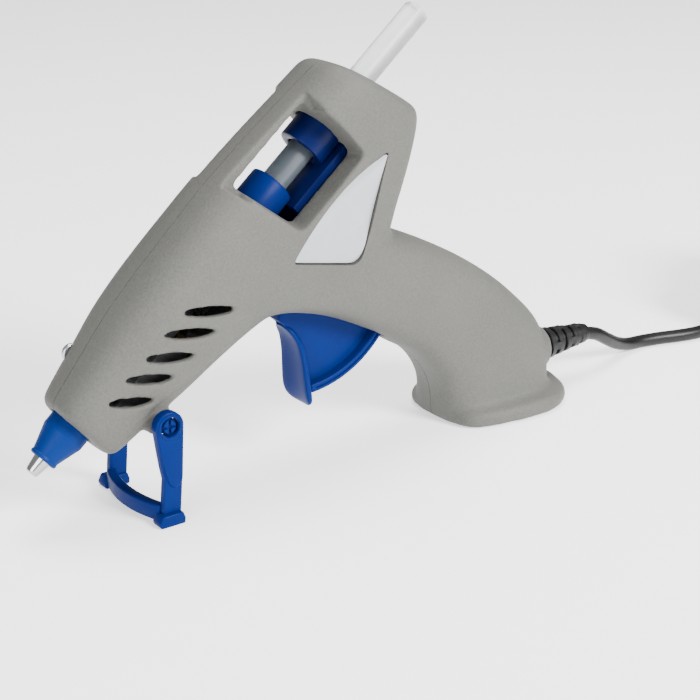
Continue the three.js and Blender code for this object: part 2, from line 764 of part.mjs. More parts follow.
// ---------------------------------------------------------------- feed
function frontGuide() {
  const flange = GUIDE_FLANGE_R;
  const [u0, u1] = GUIDE_U;
  const body = solid(turned([
    [BORE_R, u0 - 1.8],
    [flange - 1.6, u0 - 1.8],
    [GUIDE_R, u0 - 1],
    [GUIDE_R, u1 - 0.4],
    [GUIDE_R - 0.4, u1],
    [BORE_R + 0.5, u1],
    [BORE_R, u1 - 0.5],
    [BORE_R, u0 - 1.8],
  ], 36));
  const flat = solid(box(u0 - 4, u1 + 2, -9, 9, -12, SLED_TOP + GAP));
  return geometryOf(body.subtract(flat));
}

function drivePinPlace() {
  const pivot = toBarrel(PIVOT);
  const lean = FEED_TRAVEL / 2;
  return { u: pivot.u + lean, v: pivot.v + Math.sqrt(ARM_LENGTH ** 2 - lean ** 2) };
}

function carriage() {
  const [u0, u1] = CARRIAGE_U;
  const pin = drivePinPlace();
  const collar = solid(turned([
    [BORE_R, u0 + 0.5],
    [BORE_R + 0.5, u0],
    [CARRIAGE_R - 0.4, u0],
    [CARRIAGE_R, u0 + 0.4],
    [CARRIAGE_R, u1],
    [BORE_R, u1],
    [BORE_R, u0 + 0.5],
  ], 36));
  const bore = solid(alongBarrel(BORE_R, u0 - 1, u1 + 1));
  const sled = solid(box(SLED_FRONT_U, u1, -SLED_HALF, SLED_HALF, SLED_BOTTOM, SLED_TOP));
  const tongue = solid(box(TONGUE_FRONT_U, SLED_FRONT_U + 2, -LUG_HALF, LUG_HALF, pin.v - 2.6, SLED_TOP));
  const hole = solid(acrossBar({ x: pin.u, z: pin.v }, DRIVE_PIN_R + GAP, -5, 5, 16));
  const pocket = solid(box(JAW_U[0] - 0.8, JAW_U[1] + 0.8, -JAW_HALF - GAP, JAW_HALF + GAP, -9, -2));
  const jawPin = solid(acrossBar(jawPivot(), JAW_PIN_R + GAP, -SLED_HALF + 1, SLED_HALF + 1, 12));
  return geometryOf(collar.add(sled.subtract(bore)).add(tongue)
    .subtract(hole).subtract(pocket).subtract(jawPin));
}

function jawPivot() {
  return { x: JAW_U[1] - 3, z: SLED_BOTTOM + 1.5 };
}

function clampJaw() {
  const low = SLED_BOTTOM + 0.2;
  const tooth = -STICK_R - 0.85;
  const plate = solid(sideExtrude(polygon([
    [JAW_U[0], tooth],
    [JAW_U[0] + 1, tooth - 0.9],
    [JAW_U[0] + 2, tooth],
    [JAW_U[0] + 3.2, tooth - 1],
    [JAW_U[1], tooth - 1.4],
    [JAW_U[1], low],
    [JAW_U[0] + 2, low],
    [JAW_U[0], low + 1.2],
  ]), -JAW_HALF, JAW_HALF));
  const hole = solid(acrossBar(jawPivot(), JAW_PIN_R + GAP, -4, 4, 12));
  return geometryOf(plate.subtract(hole));
}

// ---------------------------------------------------------------- trigger
function armFrame(geometry) {
  const pivot = toBarrel(PIVOT);
  const pin = drivePinPlace();
  const lean = Math.atan2(pin.u - pivot.u, pin.v - pivot.v);
  return geometry.rotateY(lean).translate(pivot.u, 0, pivot.v);
}

function trigger() {
  const { x, z } = PIVOT;
  const [from, to] = [-91, -29].map(THREE.MathUtils.degToRad);
  const web = new THREE.Shape();
  web.moveTo(x - HUB_R, z);
  web.lineTo(71.2, 41);
  web.quadraticCurveTo(77.6, 36, 77.7, z - FIN_R + 1);
  web.absarc(x, z, FIN_R - 0.6, from, to, false);
  const rim = new THREE.Shape();
  rim.absarc(x, z, FIN_R, from, to, false);
  rim.absarc(x, z, FIN_R - RIM, to, from, true);
  const pad = new THREE.Shape();
  pad.moveTo(71.3, 41);
  pad.quadraticCurveTo(77.7, 36.5, 78.1, 25);
  pad.lineTo(78.3, 18.6);
  pad.quadraticCurveTo(78.5, 15.2, 81, 14.9);
  pad.quadraticCurveTo(83, 14.9, 83, 17.5);
  pad.quadraticCurveTo(82.6, 30, 78, 37.2);
  pad.quadraticCurveTo(76, 40, 71.3, 41);
  const arm = armFrame(sideExtrude(polygon([
    [-3, 0],
    [3, 0],
    [3, ARM_LENGTH + 2.8],
    [-3, ARM_LENGTH + 2.8],
  ]), -4.3, 4.3));
  const fork = armFrame(sideExtrude(polygon([
    [-4, 5.5],
    [4, 5.5],
    [4, ARM_LENGTH + 4],
    [-4, ARM_LENGTH + 4],
  ]), -LUG_HALF - GAP, LUG_HALF + GAP));
  const slot = armFrame(sideExtrude(polygon([
    [-DRIVE_PIN_R - GAP, ARM_LENGTH - DRIVE_PIN_R - GAP],
    [DRIVE_PIN_R + GAP, ARM_LENGTH - DRIVE_PIN_R - GAP],
    [DRIVE_PIN_R + GAP, ARM_LENGTH + 6],
    [-DRIVE_PIN_R - GAP, ARM_LENGTH + 6],
  ]), -6, 6));
  const lever = solid(inGun(arm)).subtract(solid(inGun(fork))).subtract(solid(inGun(slot)));
  return geometryOf(solid(sideExtrude(web, -WEB_HALF, WEB_HALF, 12))
    .add(solid(sideExtrude(rim, -TRIGGER_HALF + 0.2, TRIGGER_HALF - 0.2, 14)))
    .add(solid(sideExtrude(pad, -PAD_HALF, PAD_HALF, 8)))
    .add(solid(acrossBar(PIVOT, HUB_R, -TRIGGER_HALF, TRIGGER_HALF, 24)))
    .add(lever)
    .subtract(solid(acrossBar(PIVOT, PIVOT_R + GAP, -9, 9, 20))));
}

// torsion spring beside the hub: coils round the pivot pin, one leg down the fin, one on the housing
function returnSpring() {
  const coilR = 2.75;
  const wire = 0.45;
  const turns = 3;
  const pitch = (8.4 - 5.95) / turns;
  const points = [];
  for (let i = 0; i <= turns * 12; i += 1) {
    const angle = -Math.PI / 2 - (i / 12) * 2 * Math.PI;
    points.push(new THREE.Vector3(
      PIVOT.x + coilR * Math.cos(angle),
      -5.95 - (pitch * i) / 12,
      PIVOT.z + coilR * Math.sin(angle),
    ));
  }
  points.unshift(new THREE.Vector3(PIVOT.x + 7, -5.95, PIVOT.z - coilR - 0.6));
  points.push(new THREE.Vector3(PIVOT.x + 7, -8.4, PIVOT.z - coilR + 0.5));
  return tube(points, wire, 6, turns * 12 + 8);
}

// ---------------------------------------------------------------- stand
function stand() {
  const { x, z } = STAND_PIVOT;
  const bowed = 2.4;
  const pieces = [1, -1].map((side) => {
    const leg = new THREE.Shape();
    leg.absarc(x, z, EYE_R, THREE.MathUtils.degToRad(-10), THREE.MathUtils.degToRad(195), false);
    leg.quadraticCurveTo(x - 2.9, z - 9, x - 1.9, z - 14);
    leg.lineTo(x - 2.8, 3);
    leg.lineTo(x - 4.6, 1.2);
    leg.lineTo(x - 4.2, 0);
    leg.lineTo(x + 2.6, 0);
    leg.lineTo(x + 2.8, 1.4);
    leg.lineTo(x + 2.3, 3);
    leg.lineTo(x + 3.2, z - 14);
    const foot = polygon([[x - 4.2, 0], [x + 2.6, 0], [x + 2.8, 1.4], [x + 2.2, 3], [x - 3.6, 3], [x - 4.6, 1.2]]);
    const [a, b] = side > 0 ? [STAND_IN, STAND_IN + LEG] : [-STAND_IN - LEG, -STAND_IN];
    const [c, d] = side > 0 ? [STAND_IN - 0.6, b + FOOT_OUT] : [a - FOOT_OUT, -STAND_IN + 0.6];
    const eye = solid(acrossBar(STAND_PIVOT, EYE_BORE_R, -20, 20, 24));
    return solid(sideExtrude(leg, a, b, 10)).subtract(eye).add(solid(sideExtrude(foot, c, d)));
  });
  const bar = new THREE.Shape();
  const half = STAND_IN + 0.6;
  bar.moveTo(x - 3.4, -half);
  bar.quadraticCurveTo(x - 3.4 - 2 * bowed, 0, x - 3.4, half);
  bar.lineTo(x - 0.8, half);
  bar.quadraticCurveTo(x - 0.8 - 2 * bowed, 0, x - 0.8, -half);
  const cross = new THREE.ExtrudeGeometry(bar, { depth: 4, bevelEnabled: false, curveSegments: 10 });
  return geometryOf(pieces[0].add(pieces[1]).add(solid(cross.translate(0, 0, 1.2))));
}

// snap pin: a shank in the housing boss and a cross-slit end inside the eye
function standPin(side) {
  const r = EYE_BORE_R - GAP;
  const shankR = r - GAP - 0.4;
  const head = solid(acrossBar(STAND_PIVOT, r, STAND_IN, STAND_IN + LEG - 0.2, 24));
  const shank = solid(acrossBar(STAND_PIVOT, shankR - 0.1, STAND_IN - 4.6, STAND_IN + 0.5, 16));
  const depth = [STAND_IN + LEG - 1.3, STAND_IN + LEG + 1];
  const { x, z } = STAND_PIVOT;
  const slit = 0.4;
  const reach = 4;
  let pin = head.add(shank);
  [box(x - reach, x + reach, ...depth, z - slit, z + slit), box(x - slit, x + slit, ...depth, z - reach, z + reach)]
    .forEach((cut) => {
      pin = pin.subtract(solid(cut));
    });
  const geometry = geometryOf(pin);
  return side > 0 ? geometry : outwards(geometry.scale(1, -1, 1));
}

// ---------------------------------------------------------------- trim and fasteners
function badge(side) {
  return geometryOf(badgeSlab(side, GAP, GAP, GAP + BADGE_THICK));
}

function housingScrew(place) {
  const face = screwFace(place);
  const sides = 14;
  const shank = solid(acrossBar(place, SCREW_R, face - screwLength(face), face + 0.2, sides));
  const head = solid(acrossBar(place, SCREW_HEAD_R, face, face + SCREW_HEAD, 18));
  const reach = 1.5;
  const { x, z } = place;
  const y = face + SCREW_HEAD;
  const cross = solid(box(x - reach, x + reach, y - 0.9, y + 1, z - 0.3, z + 0.3))
    .add(solid(box(x - 0.3, x + 0.3, y - 0.9, y + 1, z - reach, z + reach)));
  return geometryOf(shank.add(head).subtract(cross));
}

// ---------------------------------------------------------------- mains entry
function strainRelief() {
  const bore = CORD_R + GAP;
  const rings = 5;
  const start = 0.5;
  const step = (RELIEF_LENGTH - start) / rings;
  const profile = [[bore, -7], [RELIEF_NECK_R, -7], [RELIEF_NECK_R, -5.1], [RELIEF_FLANGE_R, -5.1],
    [RELIEF_FLANGE_R, -3.1], [RELIEF_NECK_R, -3.1], [RELIEF_NECK_R, start]];
  for (let i = 0; i < rings; i += 1) {
    const r = THREE.MathUtils.lerp(RELIEF_R, RELIEF_END_R, i / (rings - 1));
    const u = start + i * step;
    const core = Math.max(r - 1.1, bore + 0.5);
    profile.push([r, u], [r, u + step * 0.62]);
    if (i < rings - 1) profile.push([core, u + step * 0.62], [core, u + step]);
  }
  profile.push([RELIEF_END_R - 0.3, RELIEF_LENGTH], [bore, RELIEF_LENGTH], [bore, -7]);
  return turned(profile, 20).translate(RELIEF_X, 0, RELIEF_Z);
}

function cableTail() {
  const end = RELIEF_X + RELIEF_LENGTH - 2.2;
  return turned([[0, 149], [CORD_R, 149], [CORD_R, end], [0, end]], 12).translate(0, 0, RELIEF_Z);
}

function cableClamp() {
  const [x0, x1] = CLAMP_X;
  let plate = solid(box(x0, x1, ...CLAMP_Y, RELIEF_Z - CLAMP_REACH, RELIEF_Z + CLAMP_REACH));
  clampScrewPlaces().forEach((place) => {
    plate = plate.subtract(solid(acrossBar(place, CLAMP_SCREW_R + GAP, -9, 0, 12)));
  });
  return geometryOf(plate);
}

function clampScrew(place) {
  const y = CLAMP_Y[0] - GAP;
  const shank = solid(acrossBar(place, CLAMP_SCREW_R, y - 0.2, CLAMP_Y[1] + 6.5, 10));
  const head = solid(acrossBar(place, 1.6, y - 1.2, y, 14));
  const slot = solid(box(place.x - 2, place.x + 2, y - 2, y - 0.8, place.z - 0.25, place.z + 0.25));
  return geometryOf(shank.add(head).subtract(slot));
}

// insulated leads from the cable's end to the heater terminals
function heaterLead(side) {
  const at = (u, y, v) => {
    const { x, z } = fromBarrel(u, v);
    return new THREE.Vector3(x, y, z);
  };
  const terminalV = side > 0 ? POCKET_TOP - GAP - TERMINAL / 2
    : POCKET_TOP - 3 * GAP - 1.5 * TERMINAL - HEATER.height;
  const start = HEATER.u + HEATER.length + 5.4;
  return tube([
    at(start, side * 0.4, terminalV),
    at(start + 2.4, side * 4, terminalV - 4),
    at(65, side * 7, -13.5),
    at(75, side * 7.2, -14.6),
    at(86, side * 7.2, -15.6),
    new THREE.Vector3(90, side * 7.2, 55.5),
    new THREE.Vector3(102, side * 7.2, 53),
    new THREE.Vector3(113, side * 6, 51.2),
    new THREE.Vector3(122, side * 5, 45),
    new THREE.Vector3(131, side * 4.6, 38),
    new THREE.Vector3(140, side * 3, 27),
    new THREE.Vector3(144.6, side * 1.3, 17),
    new THREE.Vector3(148.5, side * 1.1, RELIEF_Z),
  ], 0.8, 6, 34);
}

// ---------------------------------------------------------------- cord, in world coordinates
function cordTube(route, steps) {
  return tube(route.map(([x, y, z]) => new THREE.Vector3(x, y, z)), CORD_R, CORD_SIDES, steps);
}

function cordCoil() {
  const { inner, outer, base, height } = COIL;
  const soft = 2;
  const top = base + height;
  return new THREE.LatheGeometry([
    [inner, base + soft],
    [inner + soft, base],
    [outer - soft, base],
    [outer, base + soft],
    [outer, top - soft],
    [outer - soft, top],
    [inner + soft, top],
    [inner, top - soft],
    [inner, base + soft],
  ].map(([r, z]) => new THREE.Vector2(r, z)), 32).rotateX(Math.PI / 2).translate(COIL.x, COIL.y, 0);
}

function coilTie() {
  const { inner, outer, base, height } = COIL;
  const width = 4;
  const a = inner - GAP;
  const b = outer + GAP;
  const top = base + height + GAP;
  const band = solid(box(a - TIE, b + TIE, -width / 2, width / 2, 0, top + TIE))
    .subtract(solid(box(a, b, -width, width, TIE, top)));
  return geometryOf(band).rotateZ(TIE_TURN).translate(COIL.x, COIL.y, 0);
}

// flat two-pin plug lying on the coil
function plugBody() {
  const { x, y, length, tail, half, height } = PLUG;
  const shape = polygon([
    [0, -tail],
    [8, -tail - 1],
    [16, -half],
    [length, -half],
    [length, half],
    [16, half],
    [8, tail + 1],
    [0, tail],
  ]);
  return new THREE.ExtrudeGeometry(shape, {
    depth: height - 3,
    bevelThickness: 1.5,
    bevelSize: 1.5,
    bevelOffset: -1.5,
    bevelSegments: 2,
  }).translate(x, y, PLUG_BASE + 1.5);
}

function plugPin(side) {
  const { x, length, height, y } = PLUG;
  const { r, apart, length: reach } = PLUG_PIN;
  return turned([[0, 0], [r, 0], [r, reach - 1], [r - 0.9, reach], [0, reach]], 14)
    .translate(x + length + GAP, y + (side * apart) / 2, PLUG_BASE + height / 2);
}

// ---------------------------------------------------------------- materials and assembly
const finish = (color, roughness, metalness = 0) => (
  new THREE.MeshStandardMaterial({ color, roughness, metalness }));
const GREY_PLASTIC = finish(0x9b9a95, 0.62);
const BLUE_PLASTIC = finish(0x164a9c, 0.38);
const BLUE_RUBBER = finish(0x0f4f9e, 0.5);
const STEEL = finish(0xb8babd, 0.25, 1);
const ALUMINIUM = finish(0xa9abad, 0.45, 1);
const BRASS = finish(0xb08d4a, 0.35, 1);
const SATIN_PLATE = finish(0xd4d6d9, 0.3, 0.8);
const CLEAR_GLUE = finish(0xe8e8e6, 0.3);
const CERAMIC = finish(0x6f6a63, 0.8);
const SILICONE = finish(0xb5532e, 0.6);
const BLACK_PLASTIC = finish(0x18181a, 0.45);
const WIRE_SLEEVE = finish(0xd8d5cc, 0.6);

function mesh(name, geometry, material) {
  const node = new THREE.Mesh(geometry, material);
  node.name = name;
  return node;
}

const part = new THREE.Group();
const gun = new THREE.Group();
gun.position.x = TIP_X;
const barrel = new THREE.Group();
barrel.position.z = TIP_Z;
barrel.rotation.y = -SLOPE;
part.add(gun);
gun.add(barrel);

const halves = housingHalves();
gun.add(
  mesh('housing_left', geometryOf(halves.left), GREY_PLASTIC),
  mesh('housing_right', geometryOf(halves.right), GREY_PLASTIC),
  mesh('badge_left', badge(-1), SATIN_PLATE),
  mesh('badge_right', badge(1), SATIN_PLATE),
);
SCREWS.forEach((place, i) => {
  gun.add(mesh(`housing_screw_${i + 1}`, housingScrew(place), STEEL));
});

const [stickTo, stickFrom] = [STICK_END_U, STICK_END_U - STICK_LENGTH];
const drivePin = drivePinPlace();
const coaxial = {
  nozzle: [nozzle(), STEEL],
  nozzle_boot: [nozzleBoot(), BLUE_RUBBER],
  melt_chamber: [meltChamber(), ALUMINIUM],
  heater_element: [heater(), CERAMIC],
  heater_terminal_upper: [heaterTerminal(true), BRASS],
  heater_terminal_lower: [heaterTerminal(false), BRASS],
  inlet_sleeve: [inletSleeve(), SILICONE],
  sleeve_clamp: [sleeveClamp(), STEEL],
  front_guide: [frontGuide(), BLUE_PLASTIC],
  carriage: [carriage(), BLUE_PLASTIC],
  drive_pin: [acrossBar({ x: drivePin.u, z: drivePin.v }, DRIVE_PIN_R, -4.3, 4.3, 16), STEEL],
  clamp_jaw: [clampJaw(), STEEL],
  jaw_pin: [acrossBar(jawPivot(), JAW_PIN_R, -SLED_HALF + 1.4, SLED_HALF - 0.2, 12), STEEL],
  glue_stick: [alongBarrel(STICK_R, stickFrom, stickTo), CLEAR_GLUE],
};
Object.entries(coaxial).forEach(([name, [geometry, material]]) => {
  barrel.add(mesh(name, geometry, material));
});

gun.add(
  mesh('trigger', trigger(), BLUE_PLASTIC),
  mesh('trigger_pin', acrossBar(PIVOT, PIVOT_R, -HALF_WIDTH + 2.6, HALF_WIDTH - 2.6), STEEL),
  mesh('return_spring', returnSpring(), STEEL),
  mesh('stand', stand(), BLUE_PLASTIC),
  mesh('stand_pin_left', standPin(-1), BLUE_PLASTIC),
  mesh('stand_pin_right', standPin(1), BLUE_PLASTIC),
  mesh('strain_relief', strainRelief(), BLACK_PLASTIC),
  mesh('cable_tail', cableTail(), BLACK_PLASTIC),
  mesh('cable_clamp', cableClamp(), BLACK_PLASTIC),
  mesh('heater_lead_left', heaterLead(-1), WIRE_SLEEVE),
  mesh('heater_lead_right', heaterLead(1), WIRE_SLEEVE),
);
clampScrewPlaces().forEach((place, i) => {
  gun.add(mesh(`clamp_screw_${i + 1}`, clampScrew(place), STEEL));
});

part.add(
  mesh('cord', cordTube(CORD_ROUTE, 30), BLACK_PLASTIC),
  mesh('cord_coil', cordCoil(), BLACK_PLASTIC),
  mesh('coil_tie', coilTie(), BLACK_PLASTIC),
  mesh('cord_lead_out', cordTube(LEAD_OUT, 8), BLACK_PLASTIC),
  mesh('plug', plugBody(), BLACK_PLASTIC),
  mesh('plug_pin_left', plugPin(-1), STEEL),
  mesh('plug_pin_right', plugPin(1), STEEL),
);

export default part;
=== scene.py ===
"""Corded mini hot glue gun: finished surfaces and looks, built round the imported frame.

Lengths in this script are millimetres and are turned into metres where a mesh is made. x runs
along the gun from the nozzle tip, y across it, z up from the standing surface; u and v run along
and across the barrel's axis.
"""
import json
import math

import bpy
from mathutils import Matrix, Vector


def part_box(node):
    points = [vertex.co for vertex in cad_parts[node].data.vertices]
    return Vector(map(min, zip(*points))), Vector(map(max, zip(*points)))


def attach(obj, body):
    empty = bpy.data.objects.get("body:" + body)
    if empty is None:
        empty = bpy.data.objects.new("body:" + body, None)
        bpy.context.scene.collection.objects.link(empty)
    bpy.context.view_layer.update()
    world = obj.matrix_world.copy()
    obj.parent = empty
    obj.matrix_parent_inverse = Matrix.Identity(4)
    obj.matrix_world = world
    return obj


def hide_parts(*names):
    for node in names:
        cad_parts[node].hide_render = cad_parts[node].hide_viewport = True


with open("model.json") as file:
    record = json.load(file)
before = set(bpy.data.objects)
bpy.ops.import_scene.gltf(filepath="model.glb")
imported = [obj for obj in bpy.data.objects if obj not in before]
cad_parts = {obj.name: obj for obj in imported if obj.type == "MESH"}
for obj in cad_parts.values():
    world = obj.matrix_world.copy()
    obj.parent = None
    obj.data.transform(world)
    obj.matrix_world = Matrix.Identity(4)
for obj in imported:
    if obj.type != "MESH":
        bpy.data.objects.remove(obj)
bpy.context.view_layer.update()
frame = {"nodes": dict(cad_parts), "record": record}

# ------------------------------------------------------------------ sizes shared with the solids
MM = 0.001
GAP = 0.3
WALL = 2.2
TIP_X = -83.78
TIP_Z = 16.5
SLOPE = math.radians(40.2)
EDGE = 3.2
NOSE_U = 14.9
REAR_U = 129.8
HALF_WIDTH = 14.5
STICK_R = 3.5
STICK_LENGTH = 100
STICK_END_U = 154
# where along the barrel the glue stick's painted shade ends, and over how many millimetres it fades out
STICK_SHADE_U = 120
STICK_SHADE_FADE = 4
BORE_R = STICK_R + 0.4
NOZZLE_SHOW = 4.8
BOOT_NECK_R = 5.6
BOOT_BACK_U = 18.4
CHAMBER_R = 5.6
SLEEVE_R = 6.2
GUIDE_R = 6.0
GUIDE_U = (78.5, 94)
CARRIAGE_R = 6.5
CARRIAGE_U = (105.4, 122)
SLED_TOP = -4.9
SLED_BOTTOM = -8.5
SLED_HALF = 6.9
WINDOW_U = (84.5, 112)
WINDOW_V = (-6.5, 12.2)
WINDOW_RAKE = 4.5
WINDOW_FLARE = 1.6
RAIL_HALF = 5.6
SURROUND = 3.6
PIVOT = (77.6, 51.7)
PIVOT_R = 1.5
HUB_R = 4.2
FIN_R = 32
RIM = 2.4
TRIGGER_HALF = 5.2
WEB_HALF = 2.4
ARM_LENGTH = 13.7
FEED_TRAVEL = 5.2
LUG_HALF = 1.6
DRIVE_PIN_R = 1.2
STAND_PIVOT = (30.5, 26.2)
STAND_IN = HALF_WIDTH - 1.6
LEG = 2.7
EYE_R = 3.9
EYE_BORE_R = 2.55
FOOT_OUT = 0.95
FAN = (93, 0)
FOOT_HEIGHT = 5
BADGE_FLOOR_Y = 12.75
BADGE_FLOOR_V = -16
BADGE_TILT = math.radians(3.2)
SCREW_R = 1.15
SCREW_HEAD_R = 2.4
SCREW_HEAD = 1.5
SCREW_SINK = 1.5
CORD_R = 2.0
RELIEF_X = 164.6
RELIEF_Z = 13.0
RELIEF_LENGTH = 17.0
RELIEF_R = 4.7
RELIEF_END_R = 3.1
RELIEF_NECK_R = 3.6
RELIEF_FLANGE_R = 5.4

# barrel sections: u, half width, top v, bottom v, lean of the section
BARREL = (
    (NOSE_U, HALF_WIDTH - 6, 6.9, -10.4, 0), (NOSE_U + 0.7, HALF_WIDTH - 4.8, 7.9, -11.6, 0),
    (NOSE_U + 2.4, HALF_WIDTH - 4.3, 8.5, -12.2, 0), (24, HALF_WIDTH - 3.3, 9.8, -13, 0),
    (31, HALF_WIDTH - 2.5, 11.1, -13.8, 0), (40, HALF_WIDTH - 1.2, 12.8, -15, 0),
    (50, HALF_WIDTH - 0.4, 13.9, -16.2, 0), (60, HALF_WIDTH, 14.5, -18, 0),
    (70, HALF_WIDTH, 15, -21, 0), (82, HALF_WIDTH, 15.5, -27, 0), (95, HALF_WIDTH, 15.2, -32, 0),
    (105, HALF_WIDTH - 0.2, 14.7, -34, 0), (112.5, HALF_WIDTH - 0.4, 14.2, -30, 0),
    (120, HALF_WIDTH - 0.8, 13.8, -24.5, 0.1), (REAR_U - 4.6, HALF_WIDTH - 1.1, 13.5, -19.8, 0.22),
    (REAR_U - 1.4, HALF_WIDTH - 1.7, 12.9, -16.6, 0.31), (REAR_U, HALF_WIDTH - 3.4, 11.3, -14.6, 0.33),
)
# handle sections: angle about FAN, inner radius, outer radius, half width
HANDLE_HALF = 11.8
HANDLE = (
    (127, 56.5, 64, HALF_WIDTH - 3), (120, 52, 67, HALF_WIDTH - 1.6), (108, 44.3, 69, HALF_WIDTH - 0.8),
    (93, 37, 66, HALF_WIDTH - 0.8), (78, 32.8, 61.5, HALF_WIDTH - 1.8), (63, 30.7, 60, HANDLE_HALF),
    (48, 31, 61.2, HANDLE_HALF - 0.4), (33, 31.3, 64.7, HANDLE_HALF), (20, 31.3, 69, HANDLE_HALF + 0.6),
    (10, 30.6, 69, HANDLE_HALF + 1.3), (0, 30.4, 66, HANDLE_HALF + 1.8),
)
# foot plan, one side: x, distance from the middle plane
FOOT = ((124, 0), (124.2, 7.5), (126.6, 13.8), (132.5, 16.6), (141, 18), (150.5, 18.6), (158.5, 16.4),
        (164.8, 10.6), (168.4, 0))
# vent slots: centre x and z, length
VENTS = ((43.9, 52.8, 19.4), (38.5, 48.1, 16.5), (32.7, 43, 17.2), (27.7, 38.3, 15.2), (22.4, 33.2, 14.8))
VENT_HEIGHT = 2.6
VENT_TILT = math.radians(7.5)


# ------------------------------------------------------------------ places and outlines
def at(x, y, z):
    """A place on the gun, in metres."""
    return Vector(((x + TIP_X) * MM, y * MM, z * MM))


def on_barrel(u, v):
    """Gun x and z of a place in the barrel's middle plane."""
    return (u * math.cos(SLOPE) - v * math.sin(SLOPE), TIP_Z + u * math.sin(SLOPE) + v * math.cos(SLOPE))


def along(u, y, v):
    """A place in the barrel's own frame, in metres."""
    x, z = on_barrel(u, v)
    return at(x, y, z)


def lying(x, y, z):
    """A place in the cord's coordinates, whose x starts at the part's origin, in metres."""
    return Vector((x, y, z)) * MM


def smooth_rows(rows, steps):
    """More rows between the given ones, on a smooth curve through them."""
    result = []
    last = len(rows) - 1
    for i in range(last):
        before, start, end, after = (rows[k] for k in (max(i - 1, 0), i, i + 1, min(i + 2, last)))
        for k in range(steps):
            t = k / steps
            result.append([
                b + 0.5 * ((c - a) * t + (2 * a - 5 * b + 4 * c - d) * t ** 2
                           + (3 * (b - c) + d - a) * t ** 3)
                for a, b, c, d in zip(before, start, end, after)])
    result.append(list(rows[last]))
    return result


def bow(start, pull, end, steps=10):
    """Places on a curve from start that is pulled towards one place, without its end."""
    return [tuple((1 - t) ** 2 * a + 2 * t * (1 - t) * b + t * t * c for a, b, c in zip(start, pull, end))
            for t in (k / steps for k in range(steps))]


def arc(centre, radius, start, end, steps=12):
    """Places on an arc, with both its ends, in degrees."""
    angles = [math.radians(start + (end - start) * k / steps) for k in range(steps + 1)]
    return [(centre[0] + radius * math.cos(a), centre[1] + radius * math.sin(a)) for a in angles]


def squircle(half_width, half_height, count, power=EDGE):
    """A rounded-box section round its own middle."""
    places = []
    for i in range(count):
        angle = (i + 0.5) / count * 2 * math.pi
        c, s = math.cos(angle), math.sin(angle)
        places.append((math.copysign(abs(c) ** (2 / power), c) * half_width,
                       math.copysign(abs(s) ** (2 / power), s) * half_height))
    return places


# ------------------------------------------------------------------ mesh tools
def deselect():
    if bpy.context.object and bpy.context.object.mode != "OBJECT":
        bpy.ops.object.mode_set(mode="OBJECT")
    bpy.ops.object.select_all(action="DESELECT")


def take(piece):
    """Makes one piece the only selected one."""
    deselect()
    piece.select_set(True)
    bpy.context.view_layer.objects.active = piece
    return piece


def put(piece, places):
    piece.data.vertices.foreach_set("co", [c for place in places for c in place])
    piece.data.update()


def seal(piece, doubles=1e-7):
    """Merges doubled places, closes the open ends and turns every face outwards."""
    take(piece)
    bpy.ops.object.mode_set(mode="EDIT")
    bpy.ops.mesh.select_all(action="SELECT")
    bpy.ops.mesh.remove_doubles(threshold=doubles)
    bpy.ops.mesh.select_all(action="SELECT")
    bpy.ops.mesh.fill_holes(sides=0)
    bpy.ops.mesh.select_all(action="SELECT")
    bpy.ops.mesh.normals_make_consistent(inside=False)
    bpy.ops.object.mode_set(mode="OBJECT")
    return piece


def wrapped(name, rings):
    """A closed body through rings of places: a grid rolled round, seamed and capped."""
    count = len(rings[0])
    deselect()
    bpy.ops.mesh.primitive_grid_add(x_subdivisions=count, y_subdivisions=len(rings) - 1, size=1)
    piece = bpy.context.object
    piece.name = name
    put(piece, [place for ring in rings for place in [*ring, ring[0]]])
    return seal(piece)


def plate(name, outline, low, high, place=at, crosswise=True):
    """An outline given a thickness: across the gun, or upwards when crosswise is off."""
    deselect()
    bpy.ops.mesh.primitive_circle_add(vertices=len(outline), fill_type="NGON")
    piece = bpy.context.object
    piece.name = name
    if crosswise:
        near, far = ([place(a, side, b) for a, b in outline] for side in (low, high))
    else:
        near, far = ([place(a, b, side) for a, b in outline] for side in (low, high))
    put(piece, near)
    bpy.ops.object.mode_set(mode="EDIT")
    bpy.ops.mesh.select_all(action="SELECT")
    bpy.ops.mesh.extrude_region_move(TRANSFORM_OT_translate={"value": far[0] - near[0]})
    bpy.ops.mesh.select_all(action="SELECT")
    bpy.ops.mesh.normals_make_consistent(inside=False)
    bpy.ops.object.mode_set(mode="OBJECT")
    return piece


def turned(name, profile, sides=48, place=along, start=(0, 0)):
    """A body turned about a line along the gun, from a profile of radius and distance."""
    rings = [[place(u, start[0] + r * math.cos(a), start[1] + r * math.sin(a))
              for a in (2 * math.pi * i / sides for i in range(sides))] for r, u in profile]
    return wrapped(name, rings)


def across(name, centre, radius, low, high, sides=48):
    """A round bar across the gun."""
    return plate(name, arc(centre, radius, 0, 360 - 360 / sides, sides - 1), low, high)


def block(name, u0, u1, y0, y1, v0, v1, place=along):
    return plate(name, ((u0, v0), (u1, v0), (u1, v1), (u0, v1)), y0, y1, place)


def modify(piece, kind, **settings):
    """Adds a modifier with its settings and applies it."""
    take(piece)
    modifier = piece.modifiers.new(kind.lower(), kind)
    for name, value in settings.items():
        setattr(modifier, name, value)
    bpy.ops.object.modifier_apply(modifier=modifier.name)
    return piece


def merge(piece, *others, operation="UNION"):
    """Joins pieces into the first one, or takes them out of it."""
    for other in others:
        modify(piece, "BOOLEAN", object=other, operation=operation, solver="MANIFOLD")
        bpy.data.objects.remove(other)
    return piece


def carve(piece, *others):
    return merge(piece, *others, operation="DIFFERENCE")


def soften(piece, width, segments=3, angle=35):
    return modify(piece, "BEVEL", width=width * MM, segments=segments, limit_method="ANGLE",
                  angle_limit=math.radians(angle), use_clamp_overlap=True)


